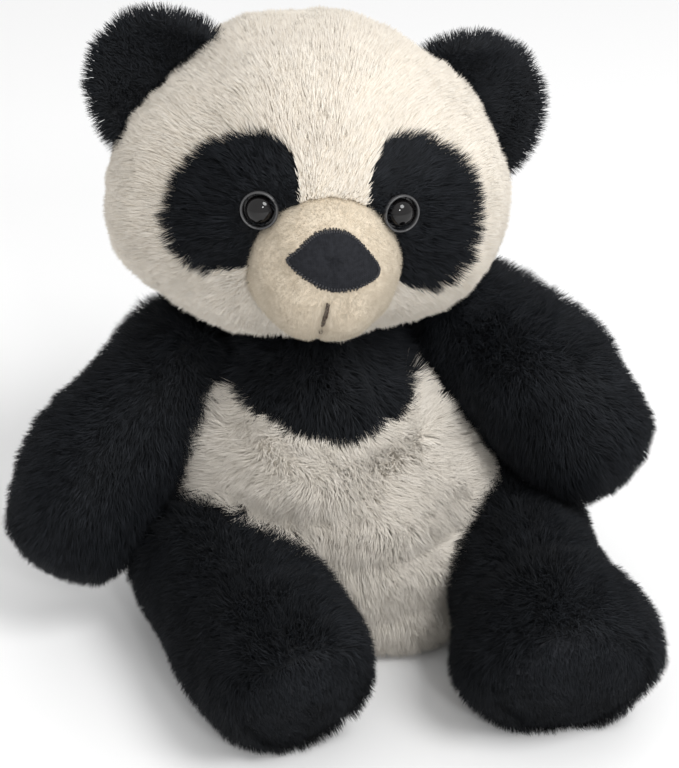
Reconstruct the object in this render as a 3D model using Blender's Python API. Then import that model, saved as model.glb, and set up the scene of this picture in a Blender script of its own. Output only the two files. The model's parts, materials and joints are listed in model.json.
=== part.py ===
"""A seated plush panda, built as the sewn and stuffed assembly it is.

The panda faces -Y and sits on the plane z = 0, with +X on its own left.
Cloth pieces are shells cut from smooth forms, with a narrow seam gap between neighbours.
Each limb, each ear and the head turns about its own empty.
"""

import bmesh
import bpy
import numpy as np
from math import atan2, ceil, copysign, cos, hypot, pi, radians, sin
from mathutils import Matrix, Vector
from mathutils.geometry import delaunay_2d_cdt

MM = 0.001

# Cloth and stuffing
PLUSH = 2.4 * MM            # plush backing with its matted root pile
SHORT_PLUSH = 1.6 * MM      # low pile cloth on the muzzle and the ears
SEAM_GAP = 0.4 * MM         # between two cloth pieces
FILLING_GAP = 2.0 * MM      # between a cloth shell and the stuffing in it
LIMB_FILLING_GAP = 4.4 * MM # the same in a limb, whose ends are more tightly curved
ROOT_EYELET = 4 * MM        # left open where a limb's covers are gathered at its root
LIMB_RING_LEAST = 18        # mesh points round a limb at the least
JOINT_GAP = 0.6 * MM        # between a limb and the pocket that it turns in
HIP_GAP = 1.0 * MM          # the same at the hips, whose pockets are shallow
CELL = 8.5 * MM             # usual distance between mesh points on a cloth piece
DOMAIN_STEP = 16 * MM       # longest outline step on a form's flat pattern
BALL_TILT = radians(63)      # keeps a ball's poles away from those of the forms it cuts
SLIVER = 0.01 * MM * MM     # least pattern area of a real region

# Torso, with its seat flat on the floor
SEAT_RADIUS = 32 * MM
TORSO_DEPTH_RATIO = 0.84
TORSO_LEAN_BACK = 14 * MM
TORSO_LEAN_SIDE = -13 * MM
TORSO_LEAN_HEIGHT = 88 * MM
TORSO_TWIST = radians(-9)
NECK_PIVOT = Vector((-13 * MM, 14 * MM, 89 * MM))
NECK_BALL = 24 * MM
NECK_OPENING = radians(36)

# Head, in its own axes about its centre
HEAD_CENTRE = Vector((-13 * MM, 16 * MM, 152 * MM))
HEAD_YAW, HEAD_PITCH, HEAD_ROLL = radians(-6.5), radians(-17), radians(4.5)
HEAD_HALF = (60 * MM, 53 * MM, 48 * MM)
HEAD_CHEEKS = 0.21
HEAD_MEAN_RADIUS = 53 * MM
GUSSET_HALF_WIDTHS = (7 * MM, 12 * MM, 21 * MM, 24 * MM, 20 * MM, 11 * MM)
EYE_AZIMUTH, EYE_ELEVATION = radians(19.6), radians(-8.6)
PATCH_AZIMUTH = radians(29)
PATCH_ELEVATIONS = {"right": radians(-9), "left": radians(-11)}
PATCH_RADII = {"right": (18.5 * MM, 23 * MM), "left": (17.5 * MM, 26 * MM)}
PATCH_DROOP = 0.2           # how far its outer side hangs lower
PATCH_SQUARENESS = 0.78     # 1 would make it an oval, less makes it squarer
EYE_RADIUS, EYE_HEIGHT = 5.7 * MM, 4.6 * MM
EYE_DISC, EYE_LENS_GAP, EYE_LIFT = 0.9 * MM, 0.1 * MM, 0.3 * MM
POST_RADIUS, POST_LENGTH, POST_GAP = 1.7 * MM, 13 * MM, 0.25 * MM
WASHER_RADIUS, WASHER_THICKNESS = 5.2 * MM, 1.4 * MM
WASHER_DROP = 1.9 * MM      # under the cloth, which curves away from it
MUZZLE_ELEVATION = radians(-31)
MUZZLE_OFFSET = 43 * MM
MUZZLE_HALF = (23.8 * MM, 24.5 * MM, 27 * MM)
MUZZLE_RIM = 1.5            # polar angle of the cover's edge, in radians
NOSE_RADII = (13.2 * MM, 8.8 * MM)
NOSE_RISE = 15.2 * MM

# Ears, on the head
EAR_AZIMUTH = radians(86)
EAR_ELEVATIONS = {"right": radians(31), "left": radians(26)}
EAR_HALF_WIDTH, EAR_HEIGHT = 21.5 * MM, 22.5 * MM
EAR_CUP = 5 * MM
EAR_CLEARANCE = 2.4 * MM
EAR_BASE_ROUND = 0.85       # share of the head's round that its base follows, so that it clears as it folds
EAR_CELL = 7 * MM

# Limbs: pivot and tip centre line, on the panda's right (-X) and left (+X)
ARM_PIVOTS = {"right": Vector((-55, 20, 87)) * MM, "left": Vector((41, 14, 89)) * MM}
ARM_TIPS = {"right": Vector((-106.5, 2, 30)) * MM, "left": Vector((77, -37, 60)) * MM}
ARM_ROOTS = {"right": 18.5 * MM, "left": 20.5 * MM}
ARM_MIDDLE, ARM_PAW = 21.5 * MM, 21.5 * MM
ARM_BEND = 5 * MM
LEG_PIVOTS = {"right": Vector((-53, -4, 25.5)) * MM, "left": Vector((49, -4, 25.5)) * MM}
LEG_YAWS = {"right": radians(7), "left": radians(-6)}
LEG_LENGTHS = {"right": 90 * MM, "left": 103 * MM}
LEG_ROOTS = {"right": 25.5 * MM, "left": 24.5 * MM}
LEG_KNEES = {"right": 24 * MM, "left": 22 * MM}
LEG_FEET = {"right": 24 * MM, "left": 29 * MM}
SOLE_SHARE = 0.89           # of the foot's own radius
SOLE_TILT = 0.45
FLOOR_EASE = 1.5 * MM

# Stuffing details
PELLET_RADIUS, PELLET_HEIGHT = 27 * MM, 15 * MM
PELLET_SLIM = 0.62          # the bag is narrower from side to side
PELLET_CUT = 4 * MM         # how far its room runs down past the seat
STITCH_WIDTH, STITCH_HEIGHT = 0.9 * MM, 0.6 * MM
CLOSING_STITCHES, CLOSING_STEP = 9, 4 * MM
CLOSING_START, CLOSING_SWING = 28 * MM, 1.4 * STITCH_WIDTH
STITCH_LIFT = 0.3 * MM      # between a stitch and the cloth under it
MOUTH_LENGTH = 10 * MM
MOUTH_GAP = 2.5 * MM        # from the nose down to the mouth stitch

for scene_object in list(bpy.data.objects):
    bpy.data.objects.remove(scene_object)


def make_material(name, colour, roughness):
    material = bpy.data.materials.new(name)
    material.use_nodes = True
    shader = material.node_tree.nodes["Principled BSDF"]
    shader.inputs["Base Color"].default_value = (*colour, 1.0)
    shader.inputs["Roughness"].default_value = roughness
    shader.inputs["Metallic"].default_value = 0.0
    material.diffuse_color = (*colour, 1.0)
    return material


CREAM = ("cream_plush", (0.72, 0.66, 0.57), 0.95)
BLACK = ("black_plush", (0.012, 0.014, 0.017), 0.95)
MUZZLE_CLOTH = ("muzzle_cloth", (0.66, 0.57, 0.45), 0.9)
NOSE_CLOTH = ("nose_cloth", (0.018, 0.018, 0.022), 0.8)
SOLE_CLOTH = ("sole_cloth", (0.03, 0.03, 0.034), 0.9)
THREAD = ("brown_thread", (0.08, 0.045, 0.025), 0.7)
BLACK_THREAD = ("black_thread", (0.012, 0.012, 0.014), 0.7)
STUFFING = ("stuffing", (0.86, 0.86, 0.84), 1.0)
PELLET_CLOTH = ("pellet_cloth", (0.75, 0.74, 0.7), 0.9)
EYE_PLASTIC = ("eye_plastic", (0.01, 0.01, 0.012), 0.15)
EYE_LENS = ("eye_lens", (0.07, 0.05, 0.04), 0.05)
WASHER_PLASTIC = ("washer_plastic", (0.8, 0.8, 0.78), 0.5)


# Smooth forms

def smooth_curve(stations, steps=6):
    """Points of a Catmull-Rom curve through the stations."""
    points = [np.array(station, float) for station in stations]
    padded = [2 * points[0] - points[1]] + points + [2 * points[-1] - points[-2]]
    curve = []
    for before, start, end, after in zip(padded, padded[1:], padded[2:], padded[3:]):
        for step in range(steps):
            u = step / steps
            curve.append(0.5 * (2 * start + (end - before) * u
                                + (2 * before - 5 * start + 4 * end - after) * u ** 2
                                + (3 * start - before - 3 * end + after) * u ** 3))
    curve.append(points[-1])
    return curve


def arc(centre, radius, start, end, steps=6):
    """(radius, height) stations of a circle about the point at a height on the axis."""
    angles = [start + (end - start) * step / steps for step in range(steps + 1)]
    return [(max(radius * sin(angle), 0.0), centre + radius * cos(angle)) for angle in angles]


class Profile:
    """A smooth (radius, height) curve, read by the length along it."""

    def __init__(self, stations):
        curve = np.array(smooth_curve(stations))
        curve[:, 0] = np.maximum(curve[:, 0], 0.0)
        spans = np.hypot(*np.diff(curve, axis=0).T)
        self.radii, self.heights = curve.T
        self.lengths = np.concatenate(([0.0], np.cumsum(spans)))
        self.length = self.lengths[-1]

    def at(self, length):
        return np.interp(length, self.lengths, self.radii), np.interp(length, self.lengths, self.heights)

    def length_at(self, height, after=0.0):
        """Length at the first place, beyond 'after', that reaches a height."""
        later = self.lengths >= after
        rising = self.heights[-1] > self.heights[0]
        reached = self.heights >= height if rising else self.heights <= height
        return float(self.lengths[later & reached][0])


def pattern(angle, length):
    """A place on a form's flat pattern: 'angle' from the front, 'length' from the pole."""
    return (length * sin(angle), -length * cos(angle))


class Form:
    """A closed surface, read through its flat polar pattern.

    place(angle, length) gives a point; outward is 1 where the pattern is seen from outside.
    """

    def __init__(self, place, length, outward):
        self.place, self.length, self.outward = place, length, outward
        self.ring_least = 6

    def point(self, x, y):
        return np.array(self.place(atan2(x, -y), hypot(x, y)))

    def normal(self, x, y):
        step = 0.5 * MM
        along_x = self.point(x + step, y) - self.point(x - step, y)
        along_y = self.point(x, y + step) - self.point(x, y - step)
        across = self.outward * np.cross(along_x, along_y)
        return across / np.linalg.norm(across)


def ease_floor(height, floor):
    """A height kept above the floor, with a short rounded corner."""
    over = height - floor
    if over > FLOOR_EASE:
        return height
    if over < -FLOOR_EASE:
        return floor
    return floor + (over + FLOOR_EASE) ** 2 / (4 * FLOOR_EASE)


def ease(value):
    value = min(max(value, 0.0), 1.0)
    return value * value * (3 - 2 * value)


# The torso: a pear with a flat seat and a ball-shaped neck.
NECK_JOIN = radians(76)
TORSO_PROFILE = Profile(
    [(0, 0), (12 * MM, 0), (24 * MM, 0), (SEAT_RADIUS, 0), (42 * MM, 2.5 * MM), (49 * MM, 9 * MM),
     (53 * MM, 22 * MM), (54 * MM, 38 * MM), (51 * MM, 55 * MM), (46 * MM, 70 * MM),
     (38 * MM, 83 * MM), (29 * MM, 91 * MM)]
    + arc(NECK_PIVOT.z, NECK_BALL, NECK_JOIN, 0.0, 7))


def torso_place(angle, length):
    radius, height = TORSO_PROFILE.at(length)
    lean = ease(height / TORSO_LEAN_HEIGHT)
    slimming = TORSO_DEPTH_RATIO + (1 - TORSO_DEPTH_RATIO) * ease((height - 78 * MM) / (16 * MM))
    turned_angle = angle + TORSO_TWIST * lean
    x = radius * sin(turned_angle) + TORSO_LEAN_SIDE * lean
    y = -radius * cos(turned_angle) * slimming + TORSO_LEAN_BACK * lean
    return (x, y, height)


TORSO = Form(torso_place, TORSO_PROFILE.length, outward=-1)


def torso_at(degrees, height):
    """Pattern place on the torso at an angle from its front and a height."""
    return pattern(radians(degrees), TORSO_PROFILE.length_at(height, after=SEAT_RADIUS))


# The head: a wide ball, fuller at the cheeks; its origin is the neck pivot.
HEAD_TURN = Matrix.Rotation(HEAD_YAW, 3, "Z") @ Matrix.Rotation(HEAD_PITCH, 3, "X")
HEAD_TURN = HEAD_TURN @ Matrix.Rotation(HEAD_ROLL, 3, "Y")
HEAD_OFFSET = np.array(HEAD_TURN.transposed() @ (HEAD_CENTRE - NECK_PIVOT))


def head_place(angle, length):
    polar = length / HEAD_MEAN_RADIUS
    width, depth, height = HEAD_HALF
    cheeks = 1 - HEAD_CHEEKS * cos(polar)
    x = width * cheeks * sin(polar) * sin(angle)
    y = -depth * sin(polar) * cos(angle)
    return HEAD_OFFSET + np.array((x, y, height * cos(polar)))


HEAD = Form(head_place, pi * HEAD_MEAN_RADIUS, outward=1)


def head_at(azimuth, elevation):
    """Pattern place on the head at an azimuth from the face and an elevation."""
    return pattern(azimuth, (pi / 2 - elevation) * HEAD_MEAN_RADIUS)


# The muzzle: an egg that stands out of the head; its pattern's pole is its front.
MUZZLE_CENTRE = HEAD_OFFSET + MUZZLE_OFFSET * np.array((0, -cos(MUZZLE_ELEVATION), sin(MUZZLE_ELEVATION)))
MUZZLE_OUT = np.array((0, -cos(MUZZLE_ELEVATION), sin(MUZZLE_ELEVATION)))
MUZZLE_UP = np.array((0, sin(MUZZLE_ELEVATION), cos(MUZZLE_ELEVATION)))
MUZZLE_MEAN_RADIUS = 24 * MM


def muzzle_place(angle, length):
    polar = length / MUZZLE_MEAN_RADIUS
    across, high, out = MUZZLE_HALF
    side = np.array((across * sin(polar) * sin(angle), 0, 0))
    rise = -high * sin(polar) * cos(angle) * MUZZLE_UP
    return MUZZLE_CENTRE + side + rise + out * cos(polar) * MUZZLE_OUT


MUZZLE = Form(muzzle_place, pi * MUZZLE_MEAN_RADIUS, outward=1)


def limb_form(root, middle, tip, length, bend=0.0, floor=None, sole_tilt=0.0):
    """A limb along -Y from its pivot at the origin; the pattern's pole is its tip."""
    blunt = 0.72 if sole_tilt else 1.0
    end = [(0, length), (0.5 * tip, length - 0.06 * tip), (0.82 * tip, length - 0.3 * tip * blunt),
           (tip, length - tip * blunt)]
    waist = [(0.5 * (tip + middle), 0.62 * length), (middle, 0.36 * length)]
    profile = Profile(end + waist + arc(0.0, root, pi / 2, pi, 6))

    def place(angle, distance):
        radius, out = profile.at(distance)
        share = max(out, 0.0) / length
        x = radius * sin(angle)
        z = -radius * cos(angle) + bend * sin(pi * share) ** 2
        y = -out - sole_tilt * z * ease((share - 0.7) / 0.3)
        if floor is not None:
            z = ease_floor(z, floor)
        return (x, y, z)

    form = Form(place, profile.length, outward=1)
    form.root_rim = profile.length - ROOT_EYELET
    form.ring_least = LIMB_RING_LEAST
    return form


# Meshes

def new_object(name, mesh_data, kind, parent, guide=False):
    mesh = bpy.data.meshes.new(name)
    mesh_data.to_mesh(mesh)
    mesh_data.free()
    mesh.shade_smooth()
    mesh.set_sharp_from_angle(angle=radians(40))
    made = bpy.data.objects.new(name, mesh)
    bpy.context.collection.objects.link(made)
    made.parent = parent
    if guide:
        made.hide_render = True
        made.display_type = "WIRE"
    else:
        mesh.materials.append(bpy.data.materials.get(kind[0]) or make_material(*kind))
    return made


def outline_steps(form, corners):
    """The corners joined on the pattern by steps no longer than a cell."""
    points = []
    for start, end in zip(corners, corners[1:] + corners[:1]):
        real = np.linalg.norm(form.point(*start) - form.point(*end))
        flat = hypot(end[0] - start[0], end[1] - start[1])
        count = max(1, ceil(real / CELL), ceil(flat / DOMAIN_STEP))
        points += [(start[0] + (end[0] - start[0]) * step / count,
                    start[1] + (end[1] - start[1]) * step / count) for step in range(count)]
    return points


def encloses(outline, x, y):
    inside = False
    for (x0, y0), (x1, y1) in zip(outline, outline[1:] + outline[:1]):
        if (y0 > y) != (y1 > y) and x < x0 + (y - y0) * (x1 - x0) / (y1 - y0):
            inside = not inside
    return inside


def inner_points(form, outline, holes, cell):
    """Points of rings about the pole that lie well inside an outline."""
    edge = np.array([form.point(*place) for ring in [outline, *holes] for place in ring])
    reach = max(hypot(*place) for place in outline)
    places = [(0.0, 0.0)]
    for ring in range(1, ceil(reach / cell)):
        length = ring * cell
        radius = np.linalg.norm(form.point(*pattern(pi / 2, length)) - form.point(*pattern(-pi / 2, length))) / 2
        count = max(form.ring_least, round(2 * pi * radius / cell))
        places += [pattern(2 * pi * (index + 0.5 * (ring % 2)) / count, length) for index in range(count)]
    kept = []
    for place in places:
        if not encloses(outline, *place) or any(encloses(hole, *place) for hole in holes):
            continue
        if np.min(np.linalg.norm(edge - form.point(*place), axis=1)) > 0.6 * cell:
            kept.append(place)
    return kept


def edge_insets(form, ring, turn, inset):
    """3-D points of a closed outline, moved in along the surface."""
    points = [form.point(*place) for place in ring]
    moved = []
    for index, place in enumerate(ring):
        normal = form.normal(*place)
        ways = []
        for start, end in ((index - 1, index), (index, (index + 1) % len(ring))):
            way = form.outward * turn * np.cross(normal, points[end] - points[start])
            ways.append(way / np.linalg.norm(way))
        mean = ways[0] + ways[1]
        mean /= max(np.linalg.norm(mean), 0.4)
        moved.append(points[index] + mean * inset / max(np.dot(mean, ways[0]), 0.4))
    return moved


def signed_area(ring):
    return sum(x0 * y1 - x1 * y0 for (x0, y0), (x1, y1) in zip(ring, ring[1:] + ring[:1]))


def inside_triangles(triangles, edges, places, outline, holes):
    """The triangles inside an outline and outside its holes, judged one fenced region at a time."""
    fences = {frozenset(edge) for edge in edges}
    region = list(range(len(triangles)))

    def root(number):
        while region[number] != number:
            number = region[number]
        return number

    first_owner = {}
    for number, corner in enumerate(triangles):
        for side in zip(corner, corner[1:] + corner[:1]):
            side = frozenset(side)
            if side in fences:
                continue
            region[root(number)] = root(first_owner.setdefault(side, number))
    areas = [abs(signed_area([places[index] for index in corner])) for corner in triangles]
    judge = {}
    for number, area in enumerate(areas):
        if area > areas[judge.get(root(number), number)] or root(number) not in judge:
            judge[root(number)] = number
    wanted = set()
    for group, number in judge.items():
        if areas[number] < SLIVER:
            continue
        x, y = np.mean([places[index] for index in triangles[number]], axis=0)
        if encloses(outline, x, y) and not any(encloses(hole, x, y) for hole in holes):
            wanted.add(group)
    return [corner for number, corner in enumerate(triangles) if root(number) in wanted]


def cloth(name, form, corners, kind, thickness, parent=None, holes=(), lift=0.0, cell=CELL, inset=SEAM_GAP / 2):
    """A shell cut from a form: an outline on its pattern, with holes."""
    outline = outline_steps(form, corners)
    hole_rings = [outline_steps(form, hole) for hole in holes]
    rings = [outline, *hole_rings]
    places, points, loops = [], [], []
    for number, ring in enumerate(rings):
        turn = (1 if signed_area(ring) > 0 else -1) * (1 if number == 0 else -1)
        loops.append(list(range(len(places), len(places) + len(ring))))
        places += ring
        points += edge_insets(form, ring, turn, inset)
    inner = inner_points(form, outline, hole_rings, cell)
    places += inner
    points += [form.point(*place) for place in inner]
    edges = [pair for loop in loops for pair in zip(loop, loop[1:] + loop[:1])]
    flat = [Vector(place) / MM for place in places]
    flat_points, _, triangles, sources, _, _ = delaunay_2d_cdt(flat, edges, [], 0, 1e-5)
    if len(flat_points) != len(flat):
        raise RuntimeError(name + ": outline crosses itself")
    normals = [form.normal(*place) for place in places]
    mesh = bmesh.new()
    outer = [mesh.verts.new(point + normal * lift) for point, normal in zip(points, normals)]
    under = [mesh.verts.new(point + normal * (lift - thickness)) for point, normal in zip(points, normals)]
    triangles = [[sources[index][0] for index in triangle] for triangle in triangles]
    for corner in inside_triangles(triangles, edges, places, outline, hole_rings):
        if signed_area([places[index] for index in corner]) * form.outward < 0:
            corner.reverse()
        mesh.faces.new([outer[index] for index in corner])
        mesh.faces.new([under[index] for index in reversed(corner)])
    for start, end in edges:
        mesh.faces.new((outer[start], under[start], under[end], outer[end]))
    bmesh.ops.recalc_face_normals(mesh, faces=mesh.faces)
    for vertex in [vertex for vertex in mesh.verts if not vertex.link_faces]:
        mesh.verts.remove(vertex)
    return new_object(name, mesh, kind, parent)


def stuffing(name, form, inset, kind=STUFFING, parent=None, around=20, cell=CELL, guide=False):
    """The whole closed form, shrunk by an inset or, where it is negative, swollen."""
    mesh = bmesh.new()
    count = max(8, ceil(form.length / cell))
    rings = []
    for ring in range(1, count):
        length = form.length * ring / count
        places = [pattern(2 * pi * index / around, length) for index in range(around)]
        rings.append([mesh.verts.new(form.point(*place) - inset * form.normal(*place)) for place in places])
    start = mesh.verts.new(form.point(0, 0) - inset * form.normal(0, 0))
    last = pattern(0, form.length * (1 - 1e-4))
    end_way = np.mean([form.normal(*pattern(2 * pi * index / around, form.length * (1 - 0.5 / count)))
                       for index in range(around)], axis=0)
    end = mesh.verts.new(form.point(*last) - inset * end_way / np.linalg.norm(end_way))
    for index in range(around):
        after = (index + 1) % around
        mesh.faces.new((start, rings[0][index], rings[0][after]))
        mesh.faces.new((end, rings[-1][after], rings[-1][index]))
        for near, far in zip(rings, rings[1:]):
            mesh.faces.new((near[index], far[index], far[after], near[after]))
    bmesh.ops.recalc_face_normals(mesh, faces=mesh.faces)
    return new_object(name, mesh, kind, parent, guide)


def turned(name, stations, kind, placing, parent=None, around=18, guide=False):
    """A closed piece turned about its Z axis from a (radius, height) loop."""
    mesh = bmesh.new()
    verts = [mesh.verts.new((radius, 0, height)) for radius, height in stations]
    loop = [mesh.edges.new(pair) for pair in zip(verts, verts[1:] + verts[:1])
            if pair[0].co.x > 1e-7 or pair[1].co.x > 1e-7]
    bmesh.ops.spin(mesh, geom=verts + loop, cent=(0, 0, 0), axis=(0, 0, 1), angle=2 * pi, steps=around)
    bmesh.ops.remove_doubles(mesh, verts=mesh.verts, dist=1e-6)
    bmesh.ops.recalc_face_normals(mesh, faces=mesh.faces)
    mesh.transform(placing)
    return new_object(name, mesh, kind, parent, guide)


def cut(target, *cutters):
    for cutter in cutters:
        modifier = target.modifiers.new(cutter.name, "BOOLEAN")
        modifier.operation = "DIFFERENCE"
        modifier.solver = "EXACT"
        modifier.object = cutter


def ball(name, centre, radius, parent=None, kind=None, guide=True):
    stations = arc(0.0, radius, 0.0, pi, 10)
    placing = Matrix.Translation(centre) @ Matrix.Rotation(BALL_TILT, 4, "X")
    return turned(name, stations, kind, placing, parent, 20, guide)


def joint_empty(name, location, turn=Matrix.Identity(3), parent=None):
    empty = bpy.data.objects.new(name, None)
    bpy.context.collection.objects.link(empty)
    empty.empty_display_size = 10 * MM
    empty.parent = parent
    empty.matrix_local = Matrix.Translation(location) @ turn.to_4x4()
    return empty


def outward_frame(origin, out, up):
    """A placing whose Z axis points out and whose Y axis leans towards 'up'."""
    z = Vector(out).normalized()
    x = Vector(up).cross(z).normalized()
    y = z.cross(x)
    turn = Matrix((x, y, z)).transposed()
    return Matrix.Translation(origin) @ turn.to_4x4()


# Limbs

def build_arm(side):
    pivot, tip = ARM_PIVOTS[side], ARM_TIPS[side]
    reach = tip - pivot
    back = -reach.normalized()
    across = back.cross(Vector((0, 0, 1))).normalized()
    turn = Matrix((across, back, across.cross(back))).transposed()
    empty = joint_empty(side + "_shoulder", pivot, turn)
    form = limb_form(ARM_ROOTS[side], ARM_MIDDLE, ARM_PAW, reach.length, bend=ARM_BEND)
    for name, middle in (("_arm_front", 0), ("_arm_back", 180)):
        corners = [pattern(radians(middle + angle), form.root_rim) for angle in range(-90, 91, 10)]
        cloth(side + name, form, corners + [(0.0, 0.0)], BLACK, PLUSH, empty)
    stuffing(side + "_arm_filling", form, PLUSH + LIMB_FILLING_GAP, parent=empty, around=14)
    return stuffing(side + "_arm_room", form, -JOINT_GAP, parent=empty, guide=True, around=18, cell=7 * MM)


def build_leg(side):
    pivot = LEG_PIVOTS[side]
    empty = joint_empty(side + "_hip", pivot, Matrix.Rotation(LEG_YAWS[side], 3, "Z"))
    form = limb_form(LEG_ROOTS[side], LEG_KNEES[side], LEG_FEET[side], LEG_LENGTHS[side],
                     floor=-pivot.z, sole_tilt=SOLE_TILT)
    rim = form.root_rim
    sole_radius = SOLE_SHARE * LEG_FEET[side]
    sole = [pattern(radians(angle), sole_radius) for angle in range(0, 360, 20)]
    cloth(side + "_foot_sole", form, sole, SOLE_CLOTH, PLUSH, empty)
    outer_sign = 1 if side == "left" else -1
    for name, sign in (("outer", outer_sign), ("inner", -outer_sign)):
        far = [pattern(sign * radians(angle), rim) for angle in range(0, 181, 10)]
        near = [pattern(sign * radians(angle), sole_radius) for angle in range(180, -1, -20)]
        cloth(side + "_leg_" + name, form, far + near, BLACK, PLUSH, empty)
    stuffing(side + "_leg_filling", form, PLUSH + LIMB_FILLING_GAP, parent=empty, around=16)
    return stuffing(side + "_leg_room", form, -HIP_GAP, parent=empty, guide=True, around=18, cell=7 * MM)


limb_rooms = [build_arm("right"), build_arm("left"), build_leg("right"), build_leg("left")]


# Torso

neck_opening = TORSO_PROFILE.length - NECK_OPENING * NECK_BALL
SEAT_SEAM = SEAT_RADIUS + 2 * MM
belly_flank = [torso_at(69, 59 * MM), torso_at(64, 67 * MM), torso_at(62, 77 * MM)]
star_peak = {"left": [torso_at(57, 86 * MM), torso_at(27, 79 * MM)],
             "right": [torso_at(45, 88 * MM), torso_at(22, 82 * MM)]}
belly_side = [pattern(radians(46), SEAT_SEAM), torso_at(56, 20 * MM), torso_at(66, 40 * MM)]
SEAT_STEPS = [-46, -23, 0, 23, 46, 73, 100, 127, 154, 180, -154, -127, -100, -73]
seat_ring = [pattern(radians(angle), SEAT_SEAM) for angle in SEAT_STEPS]
seat_front = seat_ring[:5]


def mirrored(places):
    return [(-x, y) for x, y in places]


star = star_peak["left"] + [torso_at(0, 75.5 * MM)] + mirrored(reversed(star_peak["right"]))
belly_top = belly_flank + star + mirrored(reversed(belly_flank))
belly = seat_front[:-1] + belly_side + belly_top + mirrored(reversed(belly_side[1:]))
side_seam = [belly_flank[2], torso_at(74, 87 * MM), pattern(radians(84), neck_opening)]
chest_neck = [pattern(radians(angle), neck_opening) for angle in range(84, -85, -14)]
chest = side_seam[:-1] + chest_neck + mirrored(reversed(side_seam[:-1])) + list(reversed(star))
back_neck = [pattern(radians(angle), neck_opening) for angle in [*range(84, 180, 16), 180]]
back_seat = seat_ring[9:4:-1]
back = belly_side + belly_flank[:2] + side_seam[:-1] + back_neck + back_seat

torso_pieces = [
    cloth("seat_panel", TORSO, seat_ring, BLACK, PLUSH),
    cloth("belly_panel", TORSO, belly, CREAM, PLUSH),
    cloth("chest_panel", TORSO, chest, BLACK, PLUSH),
    cloth("back_panel_left", TORSO, back, BLACK, PLUSH),
    cloth("back_panel_right", TORSO, mirrored(reversed(back)), BLACK, PLUSH),
    stuffing("torso_filling", TORSO, PLUSH + FILLING_GAP, around=24),
]
neck_room = ball("neck_room", NECK_PIVOT, NECK_BALL - PLUSH)
cut(torso_pieces[-1], neck_room)
for piece in torso_pieces:
    cut(piece, *limb_rooms)

pellet_top = PLUSH + SEAM_GAP + PELLET_HEIGHT
pillow = [(0, 0), (0.6 * PELLET_RADIUS, 0), (0.93 * PELLET_RADIUS, 0.2 * PELLET_HEIGHT),
          (PELLET_RADIUS, 0.5 * PELLET_HEIGHT), (0.93 * PELLET_RADIUS, 0.8 * PELLET_HEIGHT),
          (0.6 * PELLET_RADIUS, PELLET_HEIGHT), (0, PELLET_HEIGHT)]
pellet_centre = Vector((0, 2 * MM, PLUSH + SEAM_GAP))
slim = Matrix.Diagonal((PELLET_SLIM, 1.0, 1.0, 1.0))
turned("pellet_bag", pillow, PELLET_CLOTH, Matrix.Translation(pellet_centre) @ slim, around=24)
room_radius, room_top = PELLET_RADIUS + 2 * SEAM_GAP, PELLET_HEIGHT + SEAM_GAP
pellet_hollow = [(0, -PELLET_CUT), (room_radius, -PELLET_CUT), (room_radius, room_top), (0, room_top)]
pellet_room = turned("pellet_room", pellet_hollow, None, Matrix.Translation(pellet_centre) @ slim, guide=True)
cut(torso_pieces[-1], pellet_room)

stitch_run = [(CLOSING_SWING * (1 if step % 2 else -1), CLOSING_START + CLOSING_STEP * step)
              for step in range(CLOSING_STITCHES)]


def zigzag(run, seam_length):
    """A ribbon outline along a zigzag, on the back centre seam."""
    offset = STITCH_WIDTH / 2
    right = [(x + offset, seam_length(z)) for x, z in run]
    left = [(x - offset, seam_length(z)) for x, z in reversed(run)]
    return right + left


cloth("closing_seam_stitches", TORSO, zigzag(stitch_run, lambda height: torso_at(180, height)[1]),
      BLACK_THREAD, STITCH_HEIGHT, lift=STITCH_LIFT + STITCH_HEIGHT, inset=0.0, cell=2 * CELL)

neck_empty = joint_empty("neck", NECK_PIVOT)
ball("neck_filling", (0, 0, 0), NECK_BALL - PLUSH - 3 * SEAM_GAP, neck_empty, STUFFING, guide=False)


# Head

head_empty = joint_empty("head", NECK_PIVOT, HEAD_TURN)
head_filling = stuffing("head_filling", HEAD, PLUSH + FILLING_GAP, parent=head_empty, around=22)
gusset_stops = [-2.0, -1.45, -0.7, 0.2, 1.3, 2.7]
gusset_side = [(half, stop * HEAD_MEAN_RADIUS) for half, stop in zip(GUSSET_HALF_WIDTHS, gusset_stops)]
neck_reach = 2.85 * HEAD_MEAN_RADIUS
front_seam = [(0.0, -neck_reach), (0.0, gusset_side[0][1])]
back_end = pattern(radians(180), neck_reach)
gusset = gusset_side + [back_end] + mirrored(reversed(gusset_side)) + [front_seam[1]]
side_rim = [pattern(radians(angle), neck_reach) for angle in range(180, 0, -15)]
head_side = [front_seam[0]] + list(reversed(side_rim[1:])) + [back_end] + list(reversed(gusset_side))
head_side += [front_seam[1]]


def eye_patch_outline(side, sign):
    elevation = PATCH_ELEVATIONS[side]
    centre = head_at(PATCH_AZIMUTH, elevation)
    across, high = PATCH_RADII[side]
    outline = []
    for step in range(16):
        turn = 2 * pi * step / 16
        away = across * copysign(abs(cos(turn)) ** PATCH_SQUARENESS, cos(turn))
        rise = high * copysign(abs(sin(turn)) ** PATCH_SQUARENESS, sin(turn))
        rise -= PATCH_DROOP * away
        length = hypot(*centre) - rise
        outline.append((sign * PATCH_AZIMUTH + sign * away / (HEAD_HALF[1] * cos(elevation)), length))
    return [pattern(azimuth, length) for azimuth, length in outline]


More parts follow.
